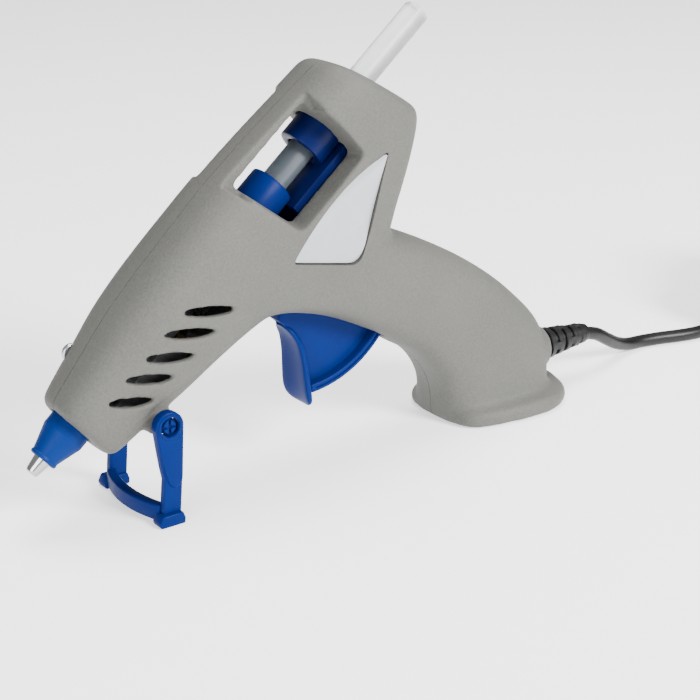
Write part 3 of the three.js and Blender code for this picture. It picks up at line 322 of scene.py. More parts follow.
def mirrored(piece, name):
    """A copy on the other side of the middle plane, with its own mesh."""
    copy = piece.copy()
    copy.data = piece.data.copy()
    copy.name = name
    bpy.context.collection.objects.link(copy)
    copy.data.transform(Matrix.Scale(-1, 4, (0, 1, 0)))
    return seal(copy)


def finish_piece(piece, body, slot, *nodes, angle=40):
    """Smooth shading, and what the piece rides on, stands for and is made of."""
    take(piece)
    bpy.ops.object.shade_smooth_by_angle(angle=math.radians(angle))
    piece.data.materials.clear()
    piece.data.materials.append(FINISHES[slot])
    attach(piece, body)
    if nodes:
        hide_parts(*nodes)
    return piece


# ------------------------------------------------------------------ camera
CAMERA_PLACE = Vector((-0.24212, -0.35727, 0.19337))
CAMERA_AIM = Vector((0.011606, 0.0, 0.026845))
CAMERA_ROLL = math.radians(-0.515)
LENS = 89.2

bpy.ops.object.camera_add(location=CAMERA_PLACE)
camera = bpy.context.object
camera.name = "camera"
camera.data.lens = LENS
camera.data.sensor_width = 36
camera.data.clip_start = 0.01
aim = (CAMERA_AIM - CAMERA_PLACE).to_track_quat("-Z", "Y")
camera.rotation_euler = (aim.to_matrix() @ Matrix.Rotation(CAMERA_ROLL, 3, "Z")).to_euler()
bpy.context.scene.camera = camera

# ------------------------------------------------------------------ cord
TIE = 0.7
TIE_TURN = -0.9
COIL = {"x": 186, "y": -8, "inner": 18.4, "outer": 27.2, "base": TIE + GAP, "height": 20.9}
CORD_START_X = TIP_X + RELIEF_X + RELIEF_LENGTH - 1.2
CORD_ROUTE = [
    (CORD_START_X, 0, RELIEF_Z), (103, 0.4, 11.2), (109, 1.6, 7.8), (115, 3.3, 4.6), (121, 4.6, 2.6),
    (127, 4.9, 2.05), (134, 3.4, 2.02), (141, 1.2, 2.02), (148, 0, 2.02), (153.4, 0.9, 2.1),
    (157.6, 3, 2.5), (160, 4.6, 2.8), (166, 8.6, 3.0),
]
PLUG = {"x": 185, "y": 7.1, "length": 34, "tail": 4.5, "half": 13, "height": 13.4}
PLUG_PIN = {"r": 2, "apart": 18.6, "length": 19}
PLUG_BASE = COIL["base"] + COIL["height"] + GAP
LEAD_OUT = [
    (165.7, -10.8, PLUG_BASE + 2.1), (166.2, -5.1, PLUG_BASE + 2.5), (169.5, 1.2, PLUG_BASE + 3.4),
    (175.1, 5.6, PLUG_BASE + 4.8), (180.6, 7, PLUG_BASE + 6.2),
    (PLUG["x"] - GAP, PLUG["y"], PLUG_BASE + PLUG["height"] / 2),
]
OUTER_TURN, INNER_TURN = 24.8, 20.6
LOW_TURN, TURN_STEP = 3.05, 4.2
COIL_START, COIL_END = 127, 250
POINTS_A_TURN = 24
TURNS = ((OUTER_TURN, 0), (INNER_TURN, 0), (INNER_TURN, 1), (OUTER_TURN, 1), (OUTER_TURN, 2),
         (INNER_TURN, 2), (INNER_TURN, 3), (OUTER_TURN, 3), (OUTER_TURN, 4), (INNER_TURN, 4))
LAST_RISE = ((235, 20.3), (220, 21.3), (205, 22.7))


def coil_points():
    """Ten turns in two columns and five layers, each layer a cord's thickness above the last."""
    points = []
    for i, (radius, layer) in enumerate(TURNS):
        after = TURNS[min(i + 1, len(TURNS) - 1)]
        for k in range(POINTS_A_TURN):
            turn = 360 * k / POINTS_A_TURN
            if i == len(TURNS) - 1 and turn > COIL_START + 360 - COIL_END:
                break
            share = max(0.0, (k / POINTS_A_TURN - 0.6) / 0.4)
            ease = share * share * (3 - 2 * share)
            angle = math.radians(COIL_START - turn)
            r = radius + (after[0] - radius) * ease
            points.append((COIL["x"] + r * math.cos(angle), COIL["y"] + r * math.sin(angle),
                           LOW_TURN + TURN_STEP * (layer + (after[1] - layer) * ease)))
    for degrees, height in LAST_RISE:
        angle = math.radians(degrees)
        points.append((COIL["x"] + INNER_TURN * math.cos(angle), COIL["y"] + INNER_TURN * math.sin(angle), height))
    return points


path = [lying(*p) for p in smooth_rows(CORD_ROUTE, 3)[:-1]]
path += [lying(*p) for p in smooth_rows([CORD_ROUTE[-1], *coil_points(), *LEAD_OUT], 2)]

curve = bpy.data.curves.new("mains_cord", "CURVE")
curve.dimensions = "3D"
curve.bevel_depth = CORD_R * MM
curve.bevel_resolution = 4
curve.use_fill_caps = True
spline = curve.splines.new("POLY")
spline.points.add(len(path) - 1)
for point, place in zip(spline.points, path):
    point.co = (*place, 1)
cord = bpy.data.objects.new("mains_cord", curve)
bpy.context.collection.objects.link(cord)


# ------------------------------------------------------------------ finishes
class Field:
    """A number that changes over a surface. Sums on it add Math nodes to its finish."""

    def __init__(self, finish, socket):
        self.finish = finish
        self.socket = socket

    def math(self, operation, first, second):
        return self.finish.node("ShaderNodeMath", {"operation": operation}, {0: first, 1: second})

    def __add__(self, other):
        return self.math("ADD", self, other)

    def __sub__(self, other):
        return self.math("SUBTRACT", self, other)

    def __rsub__(self, other):
        return self.math("SUBTRACT", other, self)

    def __mul__(self, other):
        return self.math("MULTIPLY", self, other)

    __radd__ = __add__
    __rmul__ = __mul__


class Finish:
    """A material: a Principled shader and the nodes that feed it."""

    def __init__(self, name, **shader):
        self.material = bpy.data.materials.new(name)
        self.material.use_nodes = True
        self.tree = self.material.node_tree
        self.shader = self.tree.nodes["Principled BSDF"]
        self.place = self.node("ShaderNodeTexCoord", output="Object")
        self.wear(**shader)

    def feed(self, node, values):
        for key, value in values.items():
            socket = node.inputs[key]
            if isinstance(value, Field):
                self.tree.links.new(value.socket, socket)
            else:
                socket.default_value = value

    def node(self, kind, settings=None, values=None, output=0):
        made = self.tree.nodes.new(kind)
        for key, value in (settings or {}).items():
            setattr(made, key, value)
        self.feed(made, values or {})
        return Field(self, made.outputs[output])

    def noise(self, size, detail=2, place=None):
        """Cloudy noise with features of about this many millimetres."""
        return self.node("ShaderNodeTexNoise", {}, {
            "Vector": place or self.place, "Scale": 1 / (size * MM), "Detail": detail, "Roughness": 0.55})

    def cells(self, size):
        return self.node("ShaderNodeTexVoronoi", {"feature": "F1"}, {
            "Vector": self.place, "Scale": 1 / (size * MM)})

    def shade(self, factor, dark, light):
        return self.node("ShaderNodeMix", {"data_type": "RGBA"}, {0: factor, 6: (*dark, 1), 7: (*light, 1)}, 2)

    def relief(self, height, depth):
        """Surface relief of this many millimetres."""
        return self.node("ShaderNodeBump", {}, {"Height": height, "Strength": 1, "Distance": depth * MM})

    def along_axis(self, axis):
        """Distance along a line, in metres."""
        return self.node("ShaderNodeVectorMath", {"operation": "DOT_PRODUCT"},
                         {0: self.place, 1: axis}, "Value")

    def wear(self, **values):
        """Sets the shader's sockets, named in small letters."""
        self.feed(self.shader, {" ".join("IOR" if word == "ior" else word.title() for word in key.split("_")): value
                                for key, value in values.items()})
        return self.material


BARREL_AXIS = (math.cos(SLOPE), 0, math.sin(SLOPE))


def grey_plastic():
    """Spark-eroded light grey shell: fine grain, faint clouds, the grain darker where its relief is low."""
    paint = Finish("grey_plastic", specular_ior_level=0.22)
    grain = paint.noise(0.6, 3)
    fine = paint.noise(0.25, 1)
    clouds = paint.noise(22, 3)
    tone = clouds * 0.3 + grain * 0.7
    colour = paint.shade(tone, (0.05, 0.0495, 0.0445), (0.124, 0.122, 0.11))
    return paint.wear(base_color=colour, roughness=0.5 + 0.14 * grain + 0.05 * clouds,
                      normal=paint.relief(grain * 0.65 + fine * 0.35, 0.13))


def moulded(name, dark, light, roughness, grain_size=0.5, depth=0.02, **shader):
    """Smooth moulded plastic with a faint flow pattern and orange peel."""
    paint = Finish(name, **shader)
    flow = paint.noise(9, 3)
    peel = paint.noise(grain_size, 2)
    return paint.wear(base_color=paint.shade(flow * 0.7 + peel * 0.3, dark, light),
                      roughness=roughness + 0.1 * flow + 0.05 * peel - 0.06,
                      normal=paint.relief(peel, depth))


def metal(name, dark, light, roughness, pitch=0.22, depth=0.006, axis=BARREL_AXIS):
    """Turned or drawn metal: fine tool lines round an axis and faint smears."""
    paint = Finish(name, metallic=1.0)
    lines = paint.node("ShaderNodeTexNoise", {"noise_dimensions": "1D"}, {
        "W": paint.along_axis(axis) * (1 / (pitch * MM)), "Scale": 1, "Detail": 2})
    smear = paint.noise(3, 3)
    return paint.wear(base_color=paint.shade(smear * 0.6 + lines * 0.4, dark, light),
                      roughness=roughness - 0.06 + 0.12 * smear + 0.06 * lines,
                      normal=paint.relief(lines, depth))


def satin_plate():
    """Brushed foil plate: fine streaks along the barrel, nothing printed on it."""
    paint = Finish("satin_plate", metallic=0.55)
    streaks = paint.noise(0.12, 2, paint.node(
        "ShaderNodeMapping", {"vector_type": "POINT"},
        {"Vector": paint.place, "Rotation": (0, SLOPE, 0), "Scale": (0.03, 1, 1)}))
    sheen = paint.noise(14, 2)
    return paint.wear(base_color=paint.shade(streaks * 0.5 + sheen * 0.5, (0.3, 0.31, 0.33), (0.5, 0.51, 0.53)),
                      roughness=0.26 + 0.14 * streaks, normal=paint.relief(streaks, 0.006))


def clear_glue():
    """Milky hot-melt stick with faint flow clouds and handling scuffs, and painted shade on its part inside the gun.
    """
    paint = Finish("clear_glue", transmission_weight=0.82, ior=1.36, subsurface_weight=0.1,
                   subsurface_scale=0.004, specular_ior_level=0.5)
    clouds = paint.noise(5, 3)
    scuffs = paint.noise(0.7, 4)
    # inside the gun the stick is painted darker and grey-blue, a painted shade for the dark chamber round it; further
    # back the painted shade fades out over a few millimetres
    painted_shade_end = (STICK_SHADE_U + TIP_X * math.cos(SLOPE) + TIP_Z * math.sin(SLOPE)) * MM
    out_of_shade = (paint.along_axis(BARREL_AXIS) - painted_shade_end) * (1 / (STICK_SHADE_FADE * MM))
    tone = out_of_shade * 0.7 + clouds * 0.3
    # the darker colour is the painted shade inside the gun; the lighter one is the stick's own milky white
    return paint.wear(base_color=paint.shade(tone, (0.2, 0.235, 0.27), (0.74, 0.75, 0.76)),
                      roughness=0.24 + 0.22 * scuffs, normal=paint.relief(scuffs, 0.03))


def wire_sleeve():
    """Woven glass sleeving."""
    paint = Finish("wire_sleeve", specular_ior_level=0.3)
    weave = paint.cells(0.45)
    return paint.wear(base_color=paint.shade(weave, (0.06, 0.058, 0.054), (0.03, 0.029, 0.027)),
                      roughness=0.6 + 0.2 * weave, normal=paint.relief(1 - weave, 0.08))


FINISHES = {
    "grey_plastic": grey_plastic(),
    "blue_plastic": moulded("blue_plastic", (0.0001, 0.007, 0.066), (0.0002, 0.012, 0.11), 0.38,
                            specular_ior_level=0.06),
    # the carriage's own navy, made darker still, nearly black: painted shade for the hollow under the stick in the
    # window
    "navy_plastic": moulded("navy_plastic", (0.0002, 0.0025, 0.03), (0.0003, 0.005, 0.055), 0.34,
                            specular_ior_level=0.12),
    "blue_rubber": moulded("blue_rubber", (0.0001, 0.012, 0.085), (0.0002, 0.021, 0.14), 0.42, 0.3, 0.03,
                           specular_ior_level=0.08),
    "black_plastic": moulded("black_plastic", (0.0012, 0.0012, 0.0013), (0.004, 0.004, 0.0042), 0.4, 0.35, 0.03,
                             specular_ior_level=0.3),
    "ceramic": moulded("ceramic", (0.33, 0.3, 0.25), (0.46, 0.42, 0.36), 0.8, 0.25, 0.05),
    "silicone": moulded("silicone", (0.012, 0.012, 0.013), (0.025, 0.025, 0.026), 0.55, 0.6, 0.03,
                        specular_ior_level=0.2),
    "polished_steel": metal("polished_steel", (0.34, 0.33, 0.32), (0.55, 0.54, 0.52), 0.14),
    "steel": metal("steel", (0.42, 0.42, 0.44), (0.58, 0.58, 0.6), 0.3, axis=(0, 1, 0)),
    "aluminium": metal("aluminium", (0.2, 0.2, 0.21), (0.3, 0.3, 0.31), 0.5, 0.6, 0.02),
    "brass": metal("brass", (0.08, 0.055, 0.018), (0.13, 0.09, 0.03), 0.4),
    "satin_plate": satin_plate(),
    "clear_glue": clear_glue(),
    "wire_sleeve": wire_sleeve(),
}

for subpart in frame["record"]["subparts"]:
    solid = frame["nodes"][subpart["node"]]
    solid.data.materials.clear()
    solid.data.materials.append(FINISHES[subpart["material_slot"]])

cord.data.materials.append(FINISHES["black_plastic"])
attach(cord, "gun")
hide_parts("cord", "cord_coil", "cord_lead_out")

# ------------------------------------------------------------------ housing
SECTION = 96


def barrel_rings(inset, steps=4):
    rings = []
    for u, half_width, top, bottom, lean in smooth_rows(BARREL, steps):
        middle = (top + bottom) / 2
        station = min(max(u, NOSE_U + inset), REAR_U - inset)
        if rings and station - rings[-1][0] < 0.05:
            continue
        section = squircle(half_width - inset, (top - bottom) / 2 - inset, SECTION)
        rings.append((station, [along(station - lean * (middle + v), y, middle + v) for y, v in section]))
    return [ring for _, ring in rings]


def handle_rings(inset, steps=6):
    rings = []
    for degrees, inner, outer, half_width in smooth_rows(HANDLE, steps):
        angle = math.radians(degrees)
        middle = (inner + outer) / 2
        section = squircle(half_width - inset, (outer - inner) / 2 - inset, SECTION)
        rings.append([at(FAN[0] + (middle + r) * math.cos(angle), y, FAN[1] + (middle + r) * math.sin(angle))
                      for y, r in section])
    return rings


def foot_plate():
    side = smooth_rows(FOOT, 6)
    outline = side + [(x, -y) for x, y in reversed(side[1:-1])]
    foot = plate("foot", outline, -2.2, FOOT_HEIGHT, crosswise=False)
    soften(foot, 2.1, 5, 60)
    return carve(foot, block("under", 110, 180, -40, 40, -6, 0, at))


def cord_collar():
    return turned("collar", [(0.01, 148), (7.4, 148), (7.2, 160), (6.6, RELIEF_X - 1.2), (5.4, RELIEF_X),
                             (0.01, RELIEF_X)],
                  64, at, (0, RELIEF_Z))


def window_cut(side):
    rings = []
    for k in range(5):
        depth = (HALF_WIDTH + 2) * k / 4
        grow = WINDOW_FLARE * (depth / HALF_WIDTH) ** 2
        u0, u1 = WINDOW_U[0] - grow, WINDOW_U[1] + grow
        v0, v1 = WINDOW_V[0] - grow * 0.2, WINDOW_V[1] + grow * 0.4
        half_u, half_v = (u1 - u0) / 2, (v1 - v0) / 2
        rings.append([along(u0 + half_u + a + WINDOW_RAKE * (half_u - a) * (half_v - b) / (4 * half_u * half_v),
                            side * depth, v0 + half_v + b) for a, b in squircle(half_u, half_v, 64, 18)])
    return wrapped("window", rings)


def rail_scoop(side):
    u0, u1, v = WINDOW_U[0], WINDOW_U[1], WINDOW_V[1]
    ends = sorted((side * RAIL_HALF, side * (HALF_WIDTH + 4)))
    return plate("scoop", ((u0 - 1.3, v - 3), (u1 + 1.4, v - 3), (u1 + 2.6, v + 8), (u0 - 3.4, v + 8)), *ends, along)


def lens(x, z, length, height, steps=12):
    half = length / 2
    radius = (half * half + (height / 2) ** 2) / height
    reach = math.degrees(math.asin(half / radius))
    upper = arc((0, height / 2 - radius), radius, 90 + reach, 90 - reach, steps)
    lower = arc((0, radius - height / 2), radius, 270 + reach, 270 - reach, steps)
    return [(x + a * math.cos(VENT_TILT) + b * math.sin(VENT_TILT),
             z - a * math.sin(VENT_TILT) + b * math.cos(VENT_TILT))
            for a, b in upper[:-1] + lower[:-1]]


def badge_outline(shrink, steps=12):
    """Three corners with curved sides; each side stops short, and a short curve rounds the corner."""
    corners = ((80.1, -10.6), (119.2, -11.7), (94.1, -28.7))
    middle = (sum(u for u, _ in corners) / 3, sum(v for _, v in corners) / 3)
    pulled = []
    for u, v in corners:
        inward = (middle[0] - u, middle[1] - v)
        share = 2 * shrink / math.hypot(*inward)
        pulled.append((u + inward[0] * share, v + inward[1] * share))
    left, right, low = pulled
    pulls = ((101, -4.9 - shrink), (108.5 - shrink, -17.8 + shrink), ((low[0] + left[0]) / 2, (low[1] + left[1]) / 2))
    rounding = (0.05, 0.06, 0.2)
    sides = ((left, right), (right, low), (low, left))

    def on_side(i, t):
        return tuple((1 - t) ** 2 * a + 2 * t * (1 - t) * b + t * t * c
                     for a, b, c in zip(sides[i][0], pulls[i], sides[i][1]))

    outline = []
    for i in range(3):
        after = (i + 1) % 3
        begin, end = rounding[i], 1 - rounding[after]
        outline += [on_side(i, begin + (end - begin) * k / steps) for k in range(steps)]
        outline += bow(on_side(i, end), sides[i][1], on_side(after, rounding[after]), 8)
    return outline


def badge_slab(side, shrink, low, high):
    """The badge's outline as a slab that follows the lean of the housing's side."""
    def leaning(u, out, v):
        rise = v - BADGE_FLOOR_V
        y = BADGE_FLOOR_Y + out * math.cos(BADGE_TILT) + rise * math.sin(BADGE_TILT)
        return along(u, side * y, BADGE_FLOOR_V + rise * math.cos(BADGE_TILT) - out * math.sin(BADGE_TILT))
    return plate("slab", badge_outline(shrink), low, high, leaning)


def lower_step(side):
    """The strip along the barrel's lower edge is set back a little from its side."""
    def leaning(u, out, v):
        return along(u, side * (out + 10.0 + (u - 24) * 0.04), v)
    return plate("step", ((20, -7.6), (31.8, -8.2), (45, -10.9), (57, -13.4), (59.6, -15.4), (61, -24), (20, -20)),
                 0, 8, leaning)


def screw_sink(i):
    """Only the screw at the nose stands level with the shell; the others are set deeper."""
    return SCREW_SINK if i else 0


def to_barrel(x, z):
    rise = z - TIP_Z
    return (x * math.cos(SLOPE) + rise * math.sin(SLOPE), -x * math.sin(SLOPE) + rise * math.cos(SLOPE))


def housing_shell():
    body = merge(wrapped("housing", barrel_rings(0)), wrapped("handle", handle_rings(0)), foot_plate(), cord_collar())
    # the joins between barrel, handle and foot are melted into each other
    modify(body, "REMESH", mode="VOXEL", voxel_size=0.9 * MM)
    modify(body, "SMOOTH", factor=0.5, iterations=26)
    for side in (1, -1):
        ends = sorted((side * (STAND_IN - 6), side * (STAND_IN - GAP)))
        merge(body, across("boss", STAND_PIVOT, EYE_R, *ends))
    hollow = merge(wrapped("hollow", barrel_rings(WALL)), wrapped("grip_hollow", handle_rings(WALL)))
    carve(hollow, block("floor", 60, 200, -40, 40, -20, WALL, at),
          block("surround", WINDOW_U[0] - SURROUND, WINDOW_U[1] + SURROUND, -HALF_WIDTH, HALF_WIDTH,
                WINDOW_V[0] - 5, WINDOW_V[1] + 4),
          block("bulkhead", 20.6, 22.6, -HALF_WIDTH, HALF_WIDTH, -16, 12))
    carve(body, hollow)
    pivot = to_barrel(*PIVOT)
    slot_r = FIN_R + 2 * GAP
    cuts = [
        turned("boot_way", [(0.01, 0), (BOOT_NECK_R + GAP, 0), (BOOT_NECK_R + GAP, BOOT_BACK_U - 2),
                            (BOOT_NECK_R + 1.2 + GAP, BOOT_BACK_U - 2),
                            (BOOT_NECK_R + 1.2 + GAP, BOOT_BACK_U + GAP), (0.01, BOOT_BACK_U + GAP)]),
        turned("hot_way", [(0.01, 18), (CHAMBER_R + GAP, 18), (CHAMBER_R + GAP, 56), (SLEEVE_R + GAP, 60),
                           (SLEEVE_R + GAP, 90), (0.01, 90)]),
        block("pocket", 22.8, 57, -5.6, 5.6, -10.8, 0),
        turned("feed_way", [(0.01, 108), (CARRIAGE_R + GAP, 108), (CARRIAGE_R + GAP, 124), (0.01, 124)]),
        turned("stick_way", [(0.01, 120), (BORE_R + 0.4, 120), (BORE_R + 0.4, REAR_U + 10), (0.01, REAR_U + 10)]),
        block("sled_way", 74, 124, -SLED_HALF - GAP, SLED_HALF + GAP, SLED_BOTTOM - GAP, -3),
        block("tongue_way", 73, 95.5, -4.7, 4.7, SLED_BOTTOM - 9, SLED_BOTTOM),
        block("hub_way", pivot[0] - 9, pivot[0] + 9, -TRIGGER_HALF - GAP, TRIGGER_HALF + GAP,
              pivot[1] - 6, pivot[1] + 8),
        turned("relief_way", [(0.01, 149), (RELIEF_NECK_R + GAP, 149), (RELIEF_NECK_R + GAP, 175), (0.01, 175)],
               place=at, start=(0, RELIEF_Z)),
        plate("trigger_slot", [PIVOT, *arc(PIVOT, slot_r, -132, -4, 40)], -TRIGGER_HALF - 0.4, TRIGGER_HALF + 0.4),
    ]
    for side in (1, -1):
        cuts += [window_cut(side), rail_scoop(side), lower_step(side)]
        ends = (8.6, 22.6) if side > 0 else (-22.6, -8.6)
        cuts += [plate("vent", lens(*vent, VENT_HEIGHT), *ends) for vent in VENTS]
    carve(body, *cuts)
    modify(body, "REMESH", mode="VOXEL", voxel_size=0.55 * MM)
    modify(body, "SMOOTH", factor=0.5, iterations=5)
    carve(body, badge_slab(1, 0, 0, 5), badge_slab(-1, 0, 0, 5), block("floor", 60, 200, -40, 40, -20, 0, at))
    for i in range(7):
        low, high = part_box(f"housing_screw_{i + 1}")
        middle = ((low.x + high.x) / 2 / MM - TIP_X, (low.z + high.z) / 2 / MM)
        seat = high.y / MM - screw_sink(i) - SCREW_HEAD - GAP
        carve(body, across("seat", middle, SCREW_HEAD_R + GAP, seat, 40))
    return body


PARTING = 0.09
shell = housing_shell()
right = shell.copy()
right.data = shell.data.copy()
bpy.context.collection.objects.link(right)
carve(shell, block("far_side", -20, 230, -PARTING, 60, -20, 180, at))
carve(right, block("near_side", -20, 230, -60, PARTING, -20, 180, at))
shell.name, right.name = "shell_left", "shell_right"
finish_piece(shell, "gun", "grey_plastic", "housing_left", angle=50)
finish_piece(right, "gun", "grey_plastic", "housing_right", angle=50)

for side, name in ((-1, "badge_left"), (1, "badge_right")):
    badge = soften(badge_slab(side, GAP, GAP, 0.8), 0.14, 2)
    badge.name = name + "_plate"
    finish_piece(badge, "gun", "satin_plate", name)

# ------------------------------------------------------------------ screws
for i in range(7):
    name = f"housing_screw_{i + 1}"
    low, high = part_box(name)
    middle = ((low.x + high.x) / 2 / MM - TIP_X, (low.z + high.z) / 2 / MM)
    top = high.y / MM - screw_sink(i)
    screw = merge(soften(across("screw", middle, SCREW_HEAD_R, top - SCREW_HEAD, top), 0.55, 4),
                  across("shank", middle, SCREW_R, low.y / MM, top - SCREW_HEAD + 0.2, 24))
    x, z = middle
    screw = carve(screw, block("slot", x - 1.5, x + 1.5, top - 0.9, top + 1, z - 0.28, z + 0.28, at),
                  block("slot", x - 0.28, x + 0.28, top - 0.9, top + 1, z - 1.5, z + 1.5, at))
    screw.name = f"screw_{i + 1}"
    finish_piece(screw, "gun", "steel", name)

# ------------------------------------------------------------------ nozzle and boot
nozzle = turned("nozzle_tip", [
    (0.7, 0.05), (1.2, 0), (1.5, 0.1), (1.7, 0.4), (1.78, 0.8), (2.08, 2.6), (2.42, NOZZLE_SHOW), (3.2, 9),
    (3.2, 18.7),
    (2.6, 18.7), (2.6, 24), (1.6, 24), (0.7, 10), (0.7, 0.05)], 64)
finish_piece(nozzle, "gun", "polished_steel", "nozzle")

boot = turned("boot", [
    (2.7, NOZZLE_SHOW - 0.4), (2.9, NOZZLE_SHOW - 0.55), (3.35, NOZZLE_SHOW - 0.55), (3.68, NOZZLE_SHOW - 0.3),
    (3.78, NOZZLE_SHOW + 0.05), (3.7, NOZZLE_SHOW + 0.4), (3.6, NOZZLE_SHOW + 0.6), (4.1, 7.1), (4.85, 9.5),
    (5.56, 11.75), (5.6, 11.9), (5.6, 12.4),
    (5.6, 16.7), (6.6, 16.7), (6.6, BOOT_BACK_U), (3.5, BOOT_BACK_U), (3.5, 9), (2.7, NOZZLE_SHOW + 0.4),
    (2.7, NOZZLE_SHOW - 0.4)], 72)
finish_piece(boot, "gun", "blue_rubber", "nozzle_boot", angle=14)

# ------------------------------------------------------------------ feed: front guide, carriage, glue stick
u0, u1 = GUIDE_U
guide = turned("guide", [
    (BORE_R, u0 - 1.8), (5.6, u0 - 1.8), (GUIDE_R, u0 - 1), (GUIDE_R, u1 - 0.5), (GUIDE_R - 0.12, u1 - 0.2),
    (GUIDE_R - 0.4, u1), (BORE_R + 0.6, u1), (BORE_R + 0.15, u1 - 0.15), (BORE_R, u1 - 0.6), (BORE_R, u0 - 1.8)], 72)
carve(guide, block("flat", u0 - 4, u1 + 2, -9, 9, -12, SLED_TOP + GAP))
finish_piece(guide, "gun", "blue_plastic", "front_guide")

u0, u1 = CARRIAGE_U
collar = turned("carriage_sled", [
    (BORE_R, u0 + 0.6), (BORE_R + 0.15, u0 + 0.15), (BORE_R + 0.6, u0), (CARRIAGE_R - 0.4, u0),
    (CARRIAGE_R - 0.12, u0 + 0.14), (CARRIAGE_R, u0 + 0.5), (CARRIAGE_R, u1), (BORE_R, u1), (BORE_R, u0 + 0.6)], 72)
pin_u = to_barrel(*PIVOT)[0] + FEED_TRAVEL / 2
pin_v = to_barrel(*PIVOT)[1] + math.sqrt(ARM_LENGTH ** 2 - (FEED_TRAVEL / 2) ** 2)
tongue_u = 74 + FEED_TRAVEL + 2 * GAP
sled = soften(block("sled", 92, u1, -SLED_HALF, SLED_HALF, SLED_BOTTOM, SLED_TOP), 0.15, 2)
carve(sled, turned("bore", [(0.01, u0 - 1), (BORE_R, u0 - 1), (BORE_R, u1 + 1), (0.01, u1 + 1)]))
merge(collar, sled, block("tongue", tongue_u, 94, -LUG_HALF, LUG_HALF, pin_v - 2.6, SLED_TOP))
carve(collar, plate("hole", arc((pin_u, pin_v), DRIVE_PIN_R + GAP, 0, 345, 23), -5, 5, along),
      block("jaw_way", 106.7, 120.3, -1.8, 1.8, -9, -2),
      plate("hole", arc((116.5, SLED_BOTTOM + 1.5), 1.0, 0, 345, 23), -SLED_HALF + 1, SLED_HALF + 1, along))
finish_piece(collar, "carriage", "navy_plastic", "carriage")

stick = turned("glue_stick_bar", [
    (0.01, STICK_END_U - STICK_LENGTH), (STICK_R - 0.5, STICK_END_U - STICK_LENGTH),
    (STICK_R - 0.1, STICK_END_U - STICK_LENGTH + 0.15), (STICK_R, STICK_END_U - STICK_LENGTH + 0.6),
    (STICK_R, STICK_END_U - 0.5), (STICK_R - 0.1, STICK_END_U - 0.15), (STICK_R - 0.4, STICK_END_U),
    (0.01, STICK_END_U - 0.05)], 72)
finish_piece(stick, "glue_stick", "clear_glue", "glue_stick")

# ------------------------------------------------------------------ trigger
PX, PZ = PIVOT


def trigger_pad():
    """A leaf that widens from a point at the top, hollowed down its middle."""
    spine = smooth_rows(((72.8, 39.5, 1.5, 0.5), (74.6, 37.9, 3.6, 0.8), (76.7, 34.6, 4.7, 1.05),
                         (77.9, 29.8, 5.3, 1.2), (78.5, 24.6, 5.8, 1.3), (78.9, 20.4, 6.0, 1.3),
                         (79.3, 18.2, 5.7, 1.2), (79.6, 16.9, 4.9, 1.0), (79.9, 16.0, 3.4, 0.7),
                         (80.1, 15.6, 1.6, 0.4)), 3)
    rings = []
    for i, (x, z, wide, thick) in enumerate(spine):
        ahead, behind = spine[min(i + 1, len(spine) - 1)], spine[max(i - 1, 0)]
        run = Vector((ahead[0] - behind[0], ahead[1] - behind[1])).normalized()
        front = (run.y, -run.x)
        ring = []
        for y, out in squircle(wide, thick, 40, 2.6):
            lift = out + 1.3 * (y / 6.2) ** 2 if out > 0 else out + 0.9 * (y / 6.2) ** 2
            ring.append(at(x + front[0] * lift, y, z + front[1] * lift))
        rings.append(ring)
    return wrapped("pad", rings)


def arm_plate(name, places, half):
    """An outline on the lever, which leans from the pivot to the drive pin."""
    base_u, base_v = to_barrel(*PIVOT)
    lean = math.atan2(pin_u - base_u, pin_v - base_v)
    turned_places = [(base_u + a * math.cos(lean) + b * math.sin(lean),
                      base_v - a * math.sin(lean) + b * math.cos(lean)) for a, b in places]
    return plate(name, turned_places, -half, half, along)


def trigger_lever():
    web = [(PX - HUB_R, PZ), (71.2, 41)] + bow((71.2, 41), (77.9, 36), (78.4, PZ - FIN_R + 1))[1:]
    web += arc(PIVOT, FIN_R - 0.6, -88, -29, 24)
    rim = arc(PIVOT, FIN_R, -87, -29, 32) + arc(PIVOT, FIN_R - RIM, -29, -87, 32)
    lever = soften(plate("trigger_lever", web, -WEB_HALF, WEB_HALF), 0.3, 2)
    edge = TRIGGER_HALF - 0.2
    outer_rim = soften(plate("rim", rim, -edge, edge), 0.45, 3)
    for side in (1, -1):
        groove = arc(PIVOT, FIN_R - 0.95, -84, -27, 32) + arc(PIVOT, FIN_R - RIM + 0.85, -27, -84, 32)
        carve(outer_rim, plate("groove", groove, *sorted((side * (edge - 0.35), side * (edge + 1)))))
    merge(lever, outer_rim, trigger_pad(), soften(across("hub", PIVOT, HUB_R, -TRIGGER_HALF, TRIGGER_HALF), 0.3, 2),
          arm_plate("arm", ((-3, 0), (3, 0), (3, ARM_LENGTH + 2.8), (-3, ARM_LENGTH + 2.8)), 4.3))
    slot = DRIVE_PIN_R + GAP
    carve(lever,
          arm_plate("fork", ((-4, 5.5), (4, 5.5), (4, ARM_LENGTH + 4), (-4, ARM_LENGTH + 4)), LUG_HALF + GAP),
          arm_plate("slot", ((-slot, ARM_LENGTH - slot), (slot, ARM_LENGTH - slot), (slot, ARM_LENGTH + 6),
                             (-slot, ARM_LENGTH + 6)), 6),
          across("bore", PIVOT, PIVOT_R + GAP, -9, 9))
    return lever


finish_piece(trigger_lever(), "trigger", "blue_plastic", "trigger", angle=34)

# ------------------------------------------------------------------ stand
SX, SZ = STAND_PIVOT


def leg_outline():
    """One leg from its eye down to its foot, seen from the side."""
    eye = arc(STAND_PIVOT, EYE_R, -10, 195, 30)
    return (eye[:-1] + bow(eye[-1], (SX - 2.9, SZ - 9), (SX - 1.9, SZ - 14), 8)
            + [(SX - 1.9, SZ - 14), (SX - 2.8, 2.6), (SX + 2.3, 2.6), (SX + 3.2, SZ - 14)])


